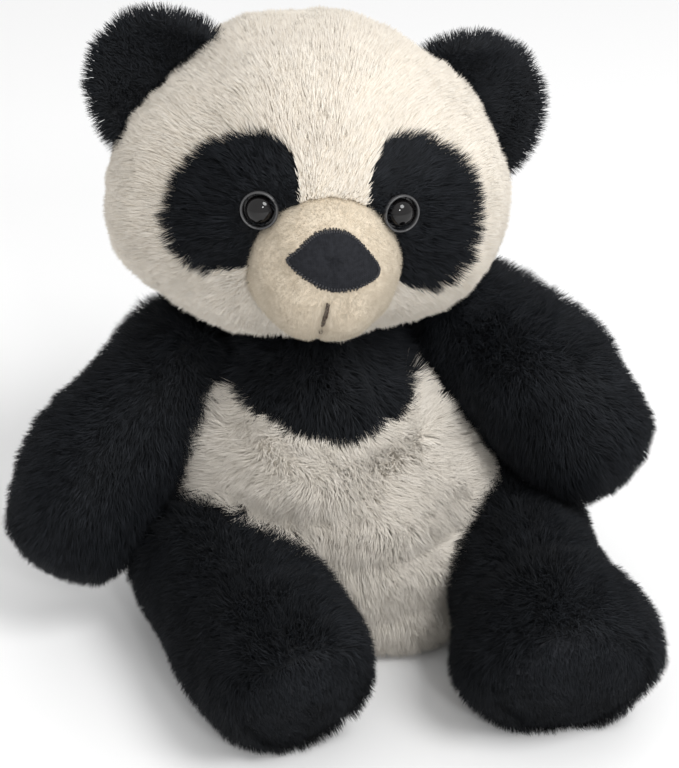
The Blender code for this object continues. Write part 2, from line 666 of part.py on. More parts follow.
muzzle_room = stuffing("muzzle_room", MUZZLE, -0.3 * MM, parent=head_empty, around=24, cell=6 * MM, guide=True)
neck_pocket = ball("neck_pocket", (0, 0, 0), NECK_BALL + JOINT_GAP, head_empty)
head_cloths = [cloth("head_gusset", HEAD, gusset, CREAM, PLUSH, head_empty)]
patches = {}
for side, sign in (("left", 1), ("right", -1)):
    corners = head_side if sign > 0 else mirrored(reversed(head_side))
    patch = eye_patch_outline(side, sign)
    head_cloths.append(cloth("head_side_" + side, HEAD, corners, CREAM, PLUSH, head_empty, holes=[patch]))
    patches[side] = cloth("eye_patch_" + side, HEAD, patch, BLACK, PLUSH, head_empty)
for piece in [*head_cloths, *patches.values(), head_filling]:
    cut(piece, muzzle_room)
for piece in [*head_cloths, head_filling]:
    cut(piece, neck_pocket)


def build_eye(side, sign):
    """A clear lens on a black disc, whose post a washer holds inside the head."""
    place = head_at(sign * EYE_AZIMUTH, EYE_ELEVATION)
    seat, normal = HEAD.point(*place), HEAD.normal(*place)
    placing = outward_frame(seat + normal * EYE_LIFT, normal, (0, 0, 1))
    lens_base = EYE_DISC + EYE_LENS_GAP
    rise = EYE_HEIGHT - lens_base
    lens = [(EYE_RADIUS * cos(pi / 2 * step / 8), lens_base + rise * sin(pi / 2 * step / 8)) for step in range(8)]
    turned(side + "_eye_lens", [(0, lens_base)] + lens + [(0, EYE_HEIGHT)], EYE_LENS, placing, head_empty)
    end = -POST_LENGTH
    post = [(0, end), (0.6 * POST_RADIUS, end), (POST_RADIUS, end + 1.5 * MM), (POST_RADIUS, 0),
            (0.95 * EYE_RADIUS, 0), (EYE_RADIUS, EYE_LIFT), (EYE_RADIUS, EYE_DISC), (0, EYE_DISC)]
    turned(side + "_eye_post", post, EYE_PLASTIC, placing, head_empty)
    top = -PLUSH - WASHER_DROP
    under = top - WASHER_THICKNESS
    bore = POST_RADIUS + POST_GAP
    washer = [(bore, top), (bore, under), (WASHER_RADIUS, under), (WASHER_RADIUS, top)]
    turned(side + "_eye_washer", washer, WASHER_PLASTIC, placing, head_empty)
    hole = [(0, 2 * top), (bore, 2 * top), (bore, EYE_DISC), (0, EYE_DISC)]
    wide, room = WASHER_RADIUS + SEAM_GAP, bore + SEAM_GAP
    pocket = [(0, end - SEAM_GAP), (room, end - SEAM_GAP), (room, under - SEAM_GAP), (wide, under - SEAM_GAP),
              (wide, EYE_HEIGHT), (0, EYE_HEIGHT)]
    cut(patches[side], turned(side + "_post_hole", hole, None, placing, head_empty, guide=True))
    cut(head_filling, turned(side + "_washer_room", pocket, None, placing, head_empty, guide=True))


build_eye("left", 1)
build_eye("right", -1)

# Muzzle, nose and mouth
muzzle_rim = MUZZLE_RIM * MUZZLE_MEAN_RADIUS
muzzle_outline = [pattern(radians(angle), muzzle_rim) for angle in range(0, 360, 15)]
cloth("muzzle_cover", MUZZLE, muzzle_outline, MUZZLE_CLOTH, SHORT_PLUSH, head_empty, cell=6 * MM)
stuffing("muzzle_filling", MUZZLE, SHORT_PLUSH + FILLING_GAP, parent=head_empty, around=18, cell=6 * MM)


def nose_outline(grow):
    """A wide triangle with a domed top, pointed sides and a rounded bottom."""
    across, high = NOSE_RADII[0] + grow, NOSE_RADII[1] + grow
    outline = []
    for step in range(28):
        turn = 2 * pi * step / 28
        x = across * cos(turn) * (1 - 0.14 * sin(turn)) * (1 + 0.1 * abs(cos(turn)) ** 6)
        outline.append((x, NOSE_RISE + high * sin(turn)))
    return outline


cloth("nose_patch", MUZZLE, nose_outline(0.0), NOSE_CLOTH, 0.8 * MM, head_empty, lift=1.1 * MM, cell=4 * MM)
cloth("nose_edge_stitching", MUZZLE, nose_outline(STITCH_WIDTH), BLACK_THREAD, STITCH_HEIGHT, head_empty,
      holes=[nose_outline(0.1 * MM)], lift=STITCH_LIFT + STITCH_HEIGHT, cell=6 * MM)
mouth_top = NOSE_RISE - NOSE_RADII[1] - MOUTH_GAP
mouth_end = mouth_top - MOUTH_LENGTH
half_stitch = STITCH_WIDTH / 2
mouth = [(half_stitch, mouth_top), (-half_stitch, mouth_top), (-half_stitch, mouth_end),
         (half_stitch, mouth_end)]
cloth("mouth_stitch", MUZZLE, mouth, THREAD, STITCH_HEIGHT, head_empty, lift=STITCH_LIFT + STITCH_HEIGHT,
      cell=6 * MM, inset=0.0)

# Ears

def ear_form(behind):
    """A cupped sheet in the ear's axes, some way behind the ear's front."""
    def place(angle, length):
        x, z = length * sin(angle), -length * cos(angle)
        return (x, EAR_CUP * (x / EAR_HALF_WIDTH) ** 2 - behind, z)
    return Form(place, EAR_HEIGHT, outward=-1)


def ear_outline():
    """A base that follows the round of the head, and a domed top."""
    steps = [EAR_HALF_WIDTH * step / 4 for step in range(-4, 5)]
    base = [(x, -EAR_BASE_ROUND * x * x / (2 * HEAD_MEAN_RADIUS)) for x in steps]
    rise = EAR_HEIGHT - base[0][1]
    turns = [pi * step / 12 for step in range(1, 12)]
    return base + [(EAR_HALF_WIDTH * cos(turn), base[0][1] + rise * sin(turn)) for turn in turns]


for side, sign in (("left", 1), ("right", -1)):
    place = head_at(sign * EAR_AZIMUTH, EAR_ELEVATIONS[side])
    normal = HEAD.normal(*place)
    ear_place = outward_frame(HEAD.point(*place) + normal * EAR_CLEARANCE, normal, (0, -1, 0))
    ear_empty = joint_empty(side + "_ear", ear_place.translation, ear_place.to_3x3(), head_empty)
    for name, behind in (("_ear_front", 0.0), ("_ear_back", SHORT_PLUSH + SEAM_GAP)):
        cloth(side + name, ear_form(behind), ear_outline(), BLACK, SHORT_PLUSH, ear_empty, cell=EAR_CELL)
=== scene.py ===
"""The looks of a seated plush panda: cloth panels with a real pile, muzzle, nose, eyes, thread and stuffing.

Every panel of the CAD model gets a soft cloth piece of its own, and plush panels get their pile strand by
strand. The panda faces -Y, with +X on its own left, and sits on the plane z = 0. Sizes are in metres.
"""

import json
from math import cos, pi, radians, sin

import bmesh
import bpy
import numpy as np
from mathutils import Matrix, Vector
from mathutils.bvhtree import BVHTree
from mathutils.kdtree import KDTree

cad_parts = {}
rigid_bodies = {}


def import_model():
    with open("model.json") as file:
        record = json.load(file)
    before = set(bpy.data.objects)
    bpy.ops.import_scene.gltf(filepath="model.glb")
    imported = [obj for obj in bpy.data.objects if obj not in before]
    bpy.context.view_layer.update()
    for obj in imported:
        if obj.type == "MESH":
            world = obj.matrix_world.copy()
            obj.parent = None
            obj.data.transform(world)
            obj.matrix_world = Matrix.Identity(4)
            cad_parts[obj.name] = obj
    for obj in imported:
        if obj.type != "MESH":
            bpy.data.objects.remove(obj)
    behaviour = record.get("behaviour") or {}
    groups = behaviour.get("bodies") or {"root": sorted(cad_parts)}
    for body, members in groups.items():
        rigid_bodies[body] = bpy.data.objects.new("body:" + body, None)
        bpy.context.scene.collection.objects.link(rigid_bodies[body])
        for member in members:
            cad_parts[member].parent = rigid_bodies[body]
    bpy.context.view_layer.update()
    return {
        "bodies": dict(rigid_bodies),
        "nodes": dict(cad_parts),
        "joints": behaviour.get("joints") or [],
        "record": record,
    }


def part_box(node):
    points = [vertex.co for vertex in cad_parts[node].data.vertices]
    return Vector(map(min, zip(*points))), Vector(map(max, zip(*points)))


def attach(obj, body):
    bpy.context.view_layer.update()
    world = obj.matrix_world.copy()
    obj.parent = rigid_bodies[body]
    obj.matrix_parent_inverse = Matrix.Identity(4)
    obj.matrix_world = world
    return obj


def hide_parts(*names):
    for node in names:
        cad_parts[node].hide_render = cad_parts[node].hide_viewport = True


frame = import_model()

MM = 0.001
NODES = frame["nodes"]
JOINTS = {joint["name"]: joint for joint in frame["joints"]}
STRAND_SHARE = 1.0


# Reading the CAD nodes

def unit(vectors):
    vectors = np.asarray(vectors, float)
    return vectors / np.maximum(np.linalg.norm(vectors, axis=-1, keepdims=True), 1e-12)


def node_mesh(name):
    """Welded vertices and triangles of a CAD node, in the row frame."""
    mesh = NODES[name].data
    mesh.calc_loop_triangles()
    points = np.empty(len(mesh.vertices) * 3, np.float32)
    mesh.vertices.foreach_get("co", points)
    corners = np.empty(len(mesh.loop_triangles) * 3, np.int32)
    mesh.loop_triangles.foreach_get("vertices", corners)
    points = points.reshape(-1, 3).astype(float)
    _, first, place = np.unique(np.round(points / (0.01 * MM)).astype(int), axis=0,
                                return_index=True, return_inverse=True)
    triangles = place.reshape(-1)[corners].reshape(-1, 3)
    whole = (triangles[:, 0] != triangles[:, 1]) & (triangles[:, 1] != triangles[:, 2])
    whole &= triangles[:, 0] != triangles[:, 2]
    return points[first], triangles[whole]


def middle(name):
    return node_mesh(name)[0].mean(axis=0)


def pivot_of(body):
    return np.array(next(joint for joint in JOINTS.values() if joint["child"] == body)["pos_m"])


def axis_of(joint):
    return unit(JOINTS[joint]["axis"])


def box_middle(name):
    low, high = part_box(name)
    return (np.array(low) + np.array(high)) / 2


HEAD_CENTRE = middle("head_filling")
HEAD_LEFT = axis_of("neck_nod")
MUZZLE_CENTRE = box_middle("muzzle_filling")
MUZZLE_OUT = middle("muzzle_cover") - MUZZLE_CENTRE
MUZZLE_OUT = unit(MUZZLE_OUT - HEAD_LEFT * (MUZZLE_OUT @ HEAD_LEFT))
MUZZLE_UP = np.cross(MUZZLE_OUT, HEAD_LEFT)
EYES = {side: middle(side + "_eye_lens") for side in ("left", "right")}
DOWN = np.array((0.0, 0.0, -1.0))


def refined(points, triangles):
    """Each triangle cut in four at the middles of its sides."""
    sides = np.sort(triangles[:, [[0, 1], [1, 2], [2, 0]]].reshape(-1, 2), axis=1)
    edges, place = np.unique(sides, axis=0, return_inverse=True)
    ab, bc, ca = (place.reshape(-1, 3) + len(points)).T
    a, b, c = triangles.T
    parts = [np.stack(part, axis=1) for part in ((a, ab, ca), (b, bc, ab), (c, ca, bc), (ab, bc, ca))]
    return np.concatenate((points, points[edges].mean(axis=1))), np.concatenate(parts)


def point_normals(points, triangles):
    corners = points[triangles]
    across = np.cross(corners[:, 1] - corners[:, 0], corners[:, 2] - corners[:, 0])
    total = np.zeros_like(points)
    for index in range(3):
        np.add.at(total, triangles[:, index], across)
    return total


# Smooth variation

def ripple(points, size, seed):
    """Smooth noise of three components between about -1 and 1, with waves about 'size' long."""
    chance = np.random.default_rng(seed)
    total = np.zeros((len(points), 3))
    for _ in range(5):
        ways = unit(chance.normal(size=(3, 3))) * (2 * pi / size) * chance.uniform(0.7, 1.4, (3, 1))
        total += np.sin(points @ ways.T + chance.uniform(0, 2 * pi, 3))
    return total / 2.6


def smooth_step(value, start, end):
    share = np.clip((value - start) / (end - start), 0, 1)
    return share * share * (3 - 2 * share)


def across_surface(vectors, normals):
    """The part of each vector that lies in the surface, as a unit vector."""
    return unit(vectors - normals * np.sum(vectors * normals, axis=1, keepdims=True))


# Materials

def new_material(name, colour, roughness, **settings):
    material = bpy.data.materials.new(name)
    material.use_nodes = True
    shader = material.node_tree.nodes["Principled BSDF"]
    shader.inputs["Base Color"].default_value = (*colour, 1)
    shader.inputs["Roughness"].default_value = roughness
    for label, value in settings.items():
        shader.inputs[label.replace("_", " ")].default_value = value
    return material, material.node_tree, shader


def node_of(tree, kind, **settings):
    node = tree.nodes.new(kind)
    for label, value in settings.items():
        socket = node.inputs.get(label.replace("_", " "))
        if socket is not None:
            socket.default_value = value
        else:
            setattr(node, label, value)
    return node


def colour_between(tree, shader, factor, dark, light, low=0.3, high=0.7):
    """Feeds the base colour from a factor, from dark at 'low' to light at 'high'."""
    ramp = node_of(tree, "ShaderNodeValToRGB")
    ramp.color_ramp.elements[0].position = low
    ramp.color_ramp.elements[0].color = (*dark, 1)
    ramp.color_ramp.elements[1].position = high
    ramp.color_ramp.elements[1].color = (*light, 1)
    tree.links.new(factor, ramp.inputs["Fac"])
    tree.links.new(ramp.outputs["Color"], shader.inputs["Base Color"])


def roughness_between(tree, shader, factor, low, high):
    spread = node_of(tree, "ShaderNodeMapRange", To_Min=low, To_Max=high)
    tree.links.new(factor, spread.inputs["Value"])
    tree.links.new(spread.outputs["Result"], shader.inputs["Roughness"])


def bumped(tree, shader, height, strength, distance):
    bump = node_of(tree, "ShaderNodeBump", Strength=strength, Distance=distance)
    tree.links.new(height, bump.inputs["Height"])
    tree.links.new(bump.outputs["Normal"], shader.inputs["Normal"])


def object_places(tree, scale=1.0):
    places = node_of(tree, "ShaderNodeTexCoord")
    mapping = node_of(tree, "ShaderNodeMapping", Scale=(scale, scale, scale))
    tree.links.new(places.outputs["Object"], mapping.inputs["Vector"])
    return mapping.outputs["Vector"]


def noise_of(tree, places, scale, detail=3.0):
    noise = node_of(tree, "ShaderNodeTexNoise", Scale=scale, Detail=detail)
    tree.links.new(places, noise.inputs["Vector"])
    return noise.outputs["Fac"]


def knitted(name, dark, light, **settings):
    """Knitted backing cloth: fine loops, with soft blotches of colour."""
    material, tree, shader = new_material(name, light, 0.95, **settings)
    places = object_places(tree)
    loops = node_of(tree, "ShaderNodeTexVoronoi", Scale=1400.0, Randomness=0.35)
    tree.links.new(places, loops.inputs["Vector"])
    blotches = noise_of(tree, places, 260.0)
    colour_between(tree, shader, blotches, dark, light)
    bumped(tree, shader, loops.outputs["Distance"], 0.5, 0.3 * MM)
    return material


def velour(name, dark, light, grain, depth, **settings):
    """Short pile cloth: a fine nap over broad, soft brush marks."""
    material, tree, shader = new_material(name, light, 0.9, **settings)
    places = object_places(tree)
    marks = noise_of(tree, places, grain * 0.12, 4.0)
    nap = noise_of(tree, places, grain, 6.0)
    both = node_of(tree, "ShaderNodeMath", operation="MULTIPLY_ADD")
    both.inputs[1].default_value = 0.6
    tree.links.new(nap, both.inputs[0])
    tree.links.new(marks, both.inputs[2])
    colour_between(tree, shader, both.outputs["Value"], dark, light, 0.55, 1.05)
    roughness_between(tree, shader, marks, 0.82, 1.0)
    bumped(tree, shader, nap, 0.6, depth)
    return material


def woven(name, dark, light, pitch, **settings):
    """Twill: two crossing sets of ribs at the yarn's pitch."""
    material, tree, shader = new_material(name, light, 0.7, **settings)
    places = object_places(tree)
    ribs = []
    for way in ("X", "Z"):
        wave = node_of(tree, "ShaderNodeTexWave", Scale=1 / (pitch * 20 / pi), Distortion=0.6, Detail=1.0)
        wave.bands_direction = way
        tree.links.new(places, wave.inputs["Vector"])
        ribs.append(wave.outputs["Fac"])
    crossing = node_of(tree, "ShaderNodeMath", operation="MULTIPLY")
    for index, rib in enumerate(ribs):
        tree.links.new(rib, crossing.inputs[index])
    dust = noise_of(tree, places, 900.0)
    colour_between(tree, shader, dust, dark, light)
    roughness_between(tree, shader, dust, 0.6, 0.85)
    bumped(tree, shader, crossing.outputs["Value"], 0.5, 0.12 * MM)
    return material


def twisted_thread(name, dark, light):
    """Sewing thread: fine plies wound round the yarn."""
    material, tree, shader = new_material(name, light, 0.6)
    places = object_places(tree)
    plies = node_of(tree, "ShaderNodeTexWave", Scale=900.0, Distortion=1.5, Detail=2.0)
    plies.bands_direction = "DIAGONAL"
    tree.links.new(places, plies.inputs["Vector"])
    colour_between(tree, shader, plies.outputs["Fac"], dark, light, 0.2, 0.9)
    roughness_between(tree, shader, plies.outputs["Fac"], 0.5, 0.75)
    bumped(tree, shader, plies.outputs["Fac"], 0.5, 0.05 * MM)
    return material


def wadding(name, dark, light):
    """Polyester fibre: a matted web."""
    material, tree, shader = new_material(name, light, 1.0)
    places = object_places(tree)
    web = noise_of(tree, places, 520.0, 8.0)
    colour_between(tree, shader, web, dark, light, 0.35, 0.6)
    bumped(tree, shader, web, 0.9, 0.8 * MM)
    return material


def moulded(name, dark, light, low, high, **settings):
    """Moulded plastic: nearly even, with faint flow marks and scuffs."""
    material, tree, shader = new_material(name, light, low, **settings)
    places = object_places(tree)
    marks = noise_of(tree, places, 240.0, 5.0)
    colour_between(tree, shader, marks, dark, light)
    roughness_between(tree, shader, marks, low, high)
    bumped(tree, shader, marks, 0.15, 0.02 * MM)
    return material


def strand_tones(name, tones, roughness, **settings):
    """Plain tones that a pile's strands are shared out between, darkest first."""
    return [new_material(f"{name}_{number}", tone, roughness, **settings)[0]
            for number, tone in enumerate(tones, 1)]


CREAM_BACKING = knitted("cream_backing", (0.86, 0.80, 0.71), (0.92, 0.87, 0.79))
BLACK_BACKING = knitted("black_backing", (0.004, 0.005, 0.006), (0.012, 0.013, 0.016))
CREAM_TONES = strand_tones(
    "cream_strand", [(0.835, 0.755, 0.64), (0.85, 0.78, 0.675), (0.865, 0.80, 0.705), (0.88, 0.825, 0.735)],
    0.9, Specular_IOR_Level=0.3)
# The belly's strands: the cream tones made darker, painted shade where the head shades the belly
BELLY_SHADE_TONES = strand_tones(
    "belly_shade_strand", [(0.70, 0.645, 0.57), (0.73, 0.68, 0.60), (0.76, 0.71, 0.635), (0.79, 0.74, 0.67)],
    0.9, Specular_IOR_Level=0.3)
BLACK_TONES = strand_tones(
    "black_strand", [(0.002, 0.003, 0.005), (0.004, 0.0055, 0.008), (0.008, 0.010, 0.0135),
                     (0.015, 0.0175, 0.022)],
    0.7, Specular_IOR_Level=0.26)
MUZZLE_VELOUR = velour("muzzle_velour", (0.58, 0.49, 0.375), (0.67, 0.585, 0.465), 2400.0, 0.25 * MM,
                       Specular_IOR_Level=0.25, Sheen_Weight=0.15, Sheen_Roughness=0.5)
MUZZLE_TONES = strand_tones(
    "muzzle_strand", [(0.59, 0.505, 0.385), (0.62, 0.54, 0.42), (0.65, 0.57, 0.455), (0.68, 0.605, 0.49)],
    0.9, Specular_IOR_Level=0.25)
SOLE_VELOUR = velour("sole_velour", (0.012, 0.013, 0.016), (0.032, 0.034, 0.040), 1500.0, 0.35 * MM,
                     Specular_IOR_Level=0.25, Sheen_Weight=0.1, Sheen_Roughness=0.5)
NOSE_TWILL = woven("nose_twill", (0.009, 0.0095, 0.012), (0.018, 0.019, 0.023), 0.35 * MM,
                   Specular_IOR_Level=0.12)
BROWN_THREAD = twisted_thread("brown_thread_twist", (0.022, 0.012, 0.008), (0.062, 0.036, 0.024))
BLACK_THREAD = twisted_thread("black_thread_twist", (0.008, 0.008, 0.01), (0.03, 0.03, 0.035))
WADDING = wadding("stuffing_wadding", (0.7, 0.7, 0.68), (0.9, 0.9, 0.88))
PELLET_CALICO = woven("pellet_calico", (0.62, 0.6, 0.53), (0.78, 0.76, 0.7), 0.5 * MM)
EYE_BLACK = moulded("eye_black_plastic", (0.004, 0.004, 0.005), (0.009, 0.008, 0.008), 0.12, 0.22)
# The rim's grey is painted light: the light seen through the edge of the clear lens
EYE_RIM_PAINTED_LIGHT = moulded("eye_rim_painted_light", (0.045, 0.045, 0.047), (0.075, 0.074, 0.075), 0.3, 0.45)
WASHER_WHITE = moulded("washer_plastic_white", (0.72, 0.72, 0.70), (0.82, 0.82, 0.80), 0.4, 0.6)
EYE_DARK = moulded("eye_dark_plastic", (0.002, 0.002, 0.0022), (0.005, 0.004, 0.004), 0.05, 0.1,
                   Specular_IOR_Level=0.42)


# Meshes

def mesh_object(name, points, corners, lengths, materials, slots=None):
    """A smooth mesh object from arrays: points, face corners, corners of each face and material slots."""
    mesh = bpy.data.meshes.new(name)
    mesh.vertices.add(len(points))
    mesh.vertices.foreach_set("co", np.asarray(points, np.float32).ravel())
    mesh.loops.add(len(corners))
    mesh.loops.foreach_set("vertex_index", corners.astype(np.int32))
    mesh.polygons.add(len(lengths))
    starts = np.concatenate(([0], np.cumsum(lengths)[:-1]))
    mesh.polygons.foreach_set("loop_start", starts.astype(np.int32))
    for material in materials:
        mesh.materials.append(material)
    if slots is not None:
        mesh.polygons.foreach_set("material_index", slots.astype(np.int32))
    mesh.update(calc_edges=True)
    mesh.shade_smooth()
    made = bpy.data.objects.new(name, mesh)
    bpy.context.collection.objects.link(made)
    return made


def new_piece(name, points, faces, materials):
    """A mesh object from points and faces."""
    lengths = np.array([len(face) for face in faces])
    return mesh_object(name, points, np.concatenate(faces), lengths, materials)


def finish_piece(piece, body, replaced=()):
    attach(piece, body)
    if replaced:
        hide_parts(*replaced)
    return piece


# Sculpting: how the stuffed forms swell and crease

SWELL_SIZE, SWELL = 36 * MM, 1.2 * MM
FOLDS = {       # middle, reach along each axis and depth of each fold, in millimetres
    "torso": [((-26, -34, 54), (18, 30, 3), 3.4), ((14, -42, 40), (20, 30, 3), 3.4),
              ((-8, -40, 71), (14, 30, 3), 1.8), ((22, -34, 63), (10, 30, 3), 2.0),
              ((-8, -42, 47), (16, 30, 5), -3.2), ((-24, -34, 62), (14, 30, 5), -2.6),
              ((16, -42, 32), (16, 30, 5), -2.4), ((8, -36, 20), (30, 30, 3), 2.0)],
    "right_leg": [((-52, -74, 48), (22, 4, 14), 2.4), ((-58, -50, 50), (18, 4, 14), 1.4),
                  ((-44, -94, 44), (14, 6, 14), -1.4)],
    "left_leg": [((50, -70, 50), (22, 5, 14), 2.0), ((58, -88, 44), (10, 5, 16), 1.4)],
    "right_arm": [((-80, 6, 74), (7, 24, 7), 2.4), ((-92, -8, 46), (8, 20, 6), 1.6)],
    "left_arm": [((56, -8, 92), (6, 14, 10), 2.0), ((66, -34, 76), (10, 10, 5), 1.6)],
}


def sculpt(points, body, outward):
    """Moves a body's cloth in and out by soft swells and folds; the underside stays flat."""
    if "ear" in body:
        return points
    swell = ripple(points, SWELL_SIZE, sum(map(ord, body)))[:, 0] * SWELL
    for place, spread, depth in FOLDS.get(body, ()):
        away = (points / MM - place) / spread
        swell -= depth * MM * np.exp(-np.sum(away * away, axis=1))
    above = smooth_step(points[:, 2], 1 * MM, 8 * MM)
    return points + outward * (swell * above)[:, None]


# The pile

class Pile:
    """How one kind of plush grows: 'each' long and 'under' short strands a square millimetre."""

    def __init__(self, tones, backing, slot, length, width, each, lean, clump, wild, under):
        self.tones, self.backing, self.slot = tones, backing, slot
        self.length, self.width, self.each, self.under = length, width, each, under
        self.lean, self.clump, self.wild = lean, clump, wild


CREAM_HEAD = Pile(CREAM_TONES, CREAM_BACKING, "cream_plush", 6.0 * MM, 0.25 * MM, 2.0, 0.6, 0.08, 0.07, 5.2)
CREAM_BELLY = Pile(BELLY_SHADE_TONES, CREAM_BACKING, "cream_plush", 8.8 * MM, 0.19 * MM, 2.2, 0.5, 0.5, 0.15, 4.2)
BLACK_PATCH = Pile(BLACK_TONES, BLACK_BACKING, "black_plush", 7.0 * MM, 0.14 * MM, 2.2, 0.42, 0.5, 0.14, 2.6)
BLACK_BODY = Pile(BLACK_TONES, BLACK_BACKING, "black_plush", 6.8 * MM, 0.16 * MM, 1.6, 0.6, 0.35, 0.16, 2.4)
BLACK_EAR = Pile(BLACK_TONES, BLACK_BACKING, "black_plush", 5.6 * MM, 0.13 * MM, 2.4, 0.35, 0.15, 0.12, 3.0)
SHORT_SEAT = Pile(BLACK_TONES, BLACK_BACKING, "black_plush", 3.0 * MM, 0.2 * MM, 1.0, 0.8, 0.3, 0.2, 0.6)
SHORT_SOLE = Pile(BLACK_TONES, SOLE_VELOUR, "sole_cloth", 3.0 * MM, 0.13 * MM, 2.6, 0.5, 0.15, 0.2, 2.2)
MUZZLE_NAP = Pile(MUZZLE_TONES, MUZZLE_VELOUR, "muzzle_cloth", 1.5 * MM, 0.11 * MM, 0.0, 0.7, 0.0, 0.3, 5.0)


def smooth_normals(sets):
    """Unit normals of several touching pieces, alike where their points meet."""
    points = np.concatenate([piece for piece, _ in sets])
    sums = np.concatenate([total for _, total in sets])
    tree = KDTree(len(points))
    for index, point in enumerate(points):
        tree.insert(point, index)
    tree.balance()
    normals = np.array([sum(sums[found] for _, found, _ in tree.find_range(point, 1.2 * MM))
                        for point in points])
    return np.split(unit(normals), np.cumsum([len(piece) for piece, _ in sets])[:-1])


def scatter(points, triangles, normals, each, chance):
    """Root points and normals, spread evenly over a mesh."""
    corners = points[triangles]
    areas = np.linalg.norm(np.cross(corners[:, 1] - corners[:, 0], corners[:, 2] - corners[:, 0]), axis=1) / 2
    count = int(areas.sum() / (MM * MM) * each)
    picked = chance.choice(len(triangles), count, p=areas / areas.sum())
    u, v = chance.random((2, count))
    over = u + v > 1
    u[over], v[over] = 1 - u[over], 1 - v[over]
    shares = np.stack((1 - u - v, u, v), axis=1)[:, :, None]
    return (corners[picked] * shares).sum(axis=1), unit((normals[triangles[picked]] * shares).sum(axis=1))


class Cover:
    """The outer side of a body's cloth panels, with normals that run smoothly from panel to panel."""

    def __init__(self, body, names, away, least=0.4):
        self.body, self.panels = body, {}
        for name in names:
            points, triangles = refined(*node_mesh(name))
            corners = points[triangles]
            across = unit(np.cross(corners[:, 1] - corners[:, 0], corners[:, 2] - corners[:, 0]))
            outer = np.sum(across * away(corners.mean(axis=1)), axis=1) > least
            self.panels[name] = [sculpt(points, body, away(points)), triangles, triangles[outer]]
        sets = [(points, point_normals(points, outer)) for points, _, outer in self.panels.values()]
        for panel, normals in zip(self.panels.values(), smooth_normals(sets)):
            panel.append(normals)

    def scatter(self, name, each, chance):
        points, _, outer, normals = self.panels[name]
        return scatter(points, outer, normals, each, chance)


def clump_centres(roots, size, chance):
    """For each root, the index of the root that its clump gathers round."""
    count = max(1, len(roots) // size)
    centres = chance.choice(len(roots), count, replace=False)
    tree = KDTree(count)
    for index in centres:
        tree.insert(roots[index], int(index))
    tree.balance()
    return np.array([tree.find(root)[1] for root in roots])


def strand_ways(pile, roots, normals, comb, length_share, chance):
    """Direction and length of each strand, which vary smoothly over the cloth and a little at random."""
    lean = pile.lean * (0.75 + 0.5 * chance.random((len(roots), 1)))
    along = comb - normals * np.sum(comb * normals, axis=1, keepdims=True)
    along /= np.maximum(np.linalg.norm(along, axis=1, keepdims=True), 0.5)
    way = normals + along * lean + ripple(roots, 17 * MM, 3) * 0.14 + ripple(roots, 6 * MM, 4) * 0.1
    way += chance.normal(size=(len(roots), 3)) * pile.wild
    length = pile.length * (0.88 + 0.16 * chance.random(len(roots)))
    length = length * (1 + 0.07 * ripple(roots, 9 * MM, 5)[:, 0])
    return unit(way), (length * length_share)[:, None], lean


def ring_round(centre, sides, others, turn, wide):
    """Three points round each strand."""
    ring = []
    for corner in range(3):
        angle = (turn + 2 * pi * corner / 3)[:, None]
        ring.append(centre + (sides * np.cos(angle) + others * np.sin(angle)) * wide)
    return ring


def strand_frames(way, chance):
    sides = unit(np.cross(way, chance.normal(size=way.shape)))
    return sides, np.cross(way, sides), chance.uniform(0, 2 * pi, len(way))


def soft_normals(points, normals):
    """Shading normals between a strand's roundness and the cloth's normal, as dense pile scatters light."""
    middles = points[:, :3].mean(axis=1)
    along = unit(points[:, -1] - middles)
    from_middle = points - middles[:, None]
    lengthwise = np.sum(from_middle * along[:, None], axis=2, keepdims=True) * along[:, None]
    return unit(unit(from_middle - lengthwise) * STRAND_ROUNDNESS + normals[:, None])


def long_strands(pile, roots, normals, comb, length_share, chance):
    """Closed three-sided strands that bend from the normal towards their clump's tip."""
    count = len(roots)
    way, length, lean = strand_ways(pile, roots, normals, comb, length_share, chance)
    tips = roots + way * length
    clump = clump_centres(roots, CLUMP_SIZE, chance)
    tips += (tips[clump] - tips) * pile.clump * (0.5 + 0.5 * chance.random((count, 1)))
    starts = roots - normals * ROOT_DEPTH
    bends = roots + normals * length * 0.42 + comb * lean * length * 0.12
    sides, others, turn = strand_frames(way, chance)
    wide = pile.width * (0.8 + 0.4 * chance.random((count, 1))) / np.sqrt(STRAND_SHARE)
    rings = ring_round(starts, sides, others, turn, wide)
    share = 0.55
    rings += ring_round(starts * (1 - share) ** 2 + 2 * bends * share * (1 - share) + tips * share ** 2,
                        sides, others, turn, wide * 0.8)
    points = np.stack(rings + [tips], axis=1)
    faces = [(0, 1, 4, 3), (1, 2, 5, 4), (2, 0, 3, 5), (3, 4, 6), (4, 5, 6), (5, 3, 6), (2, 1, 0)]
    tone = np.digitize(0.55 * chance.random(count) + 0.45 * chance.random(count)[clump], (0.3, 0.68))
    tones = np.stack([tone] * 3 + [tone + 1] * 3 + [tone], axis=1)
    return points, faces, tones, soft_normals(points, normals)


def short_strands(pile, roots, normals, comb, length_share, chance):
    """The undercoat: straight closed strands, shorter than the rest."""
    count = len(roots)
    way, length, _ = strand_ways(pile, roots, normals, comb * 0.7, length_share, chance)
    sides, others, turn = strand_frames(way, chance)
    wide = pile.width * (0.9 + 0.4 * chance.random((count, 1))) / np.sqrt(STRAND_SHARE)
    rings = ring_round(roots - normals * ROOT_DEPTH, sides, others, turn, wide)
    points = np.stack(rings + [roots + way * length * UNDER_SHARE], axis=1)
    faces = [(0, 1, 3), (1, 2, 3), (2, 0, 3), (2, 1, 0)]
    tone = np.digitize(chance.random(count), (0.35, 0.75))
    return points, faces, np.stack([tone] * 4, axis=1), soft_normals(points, normals)


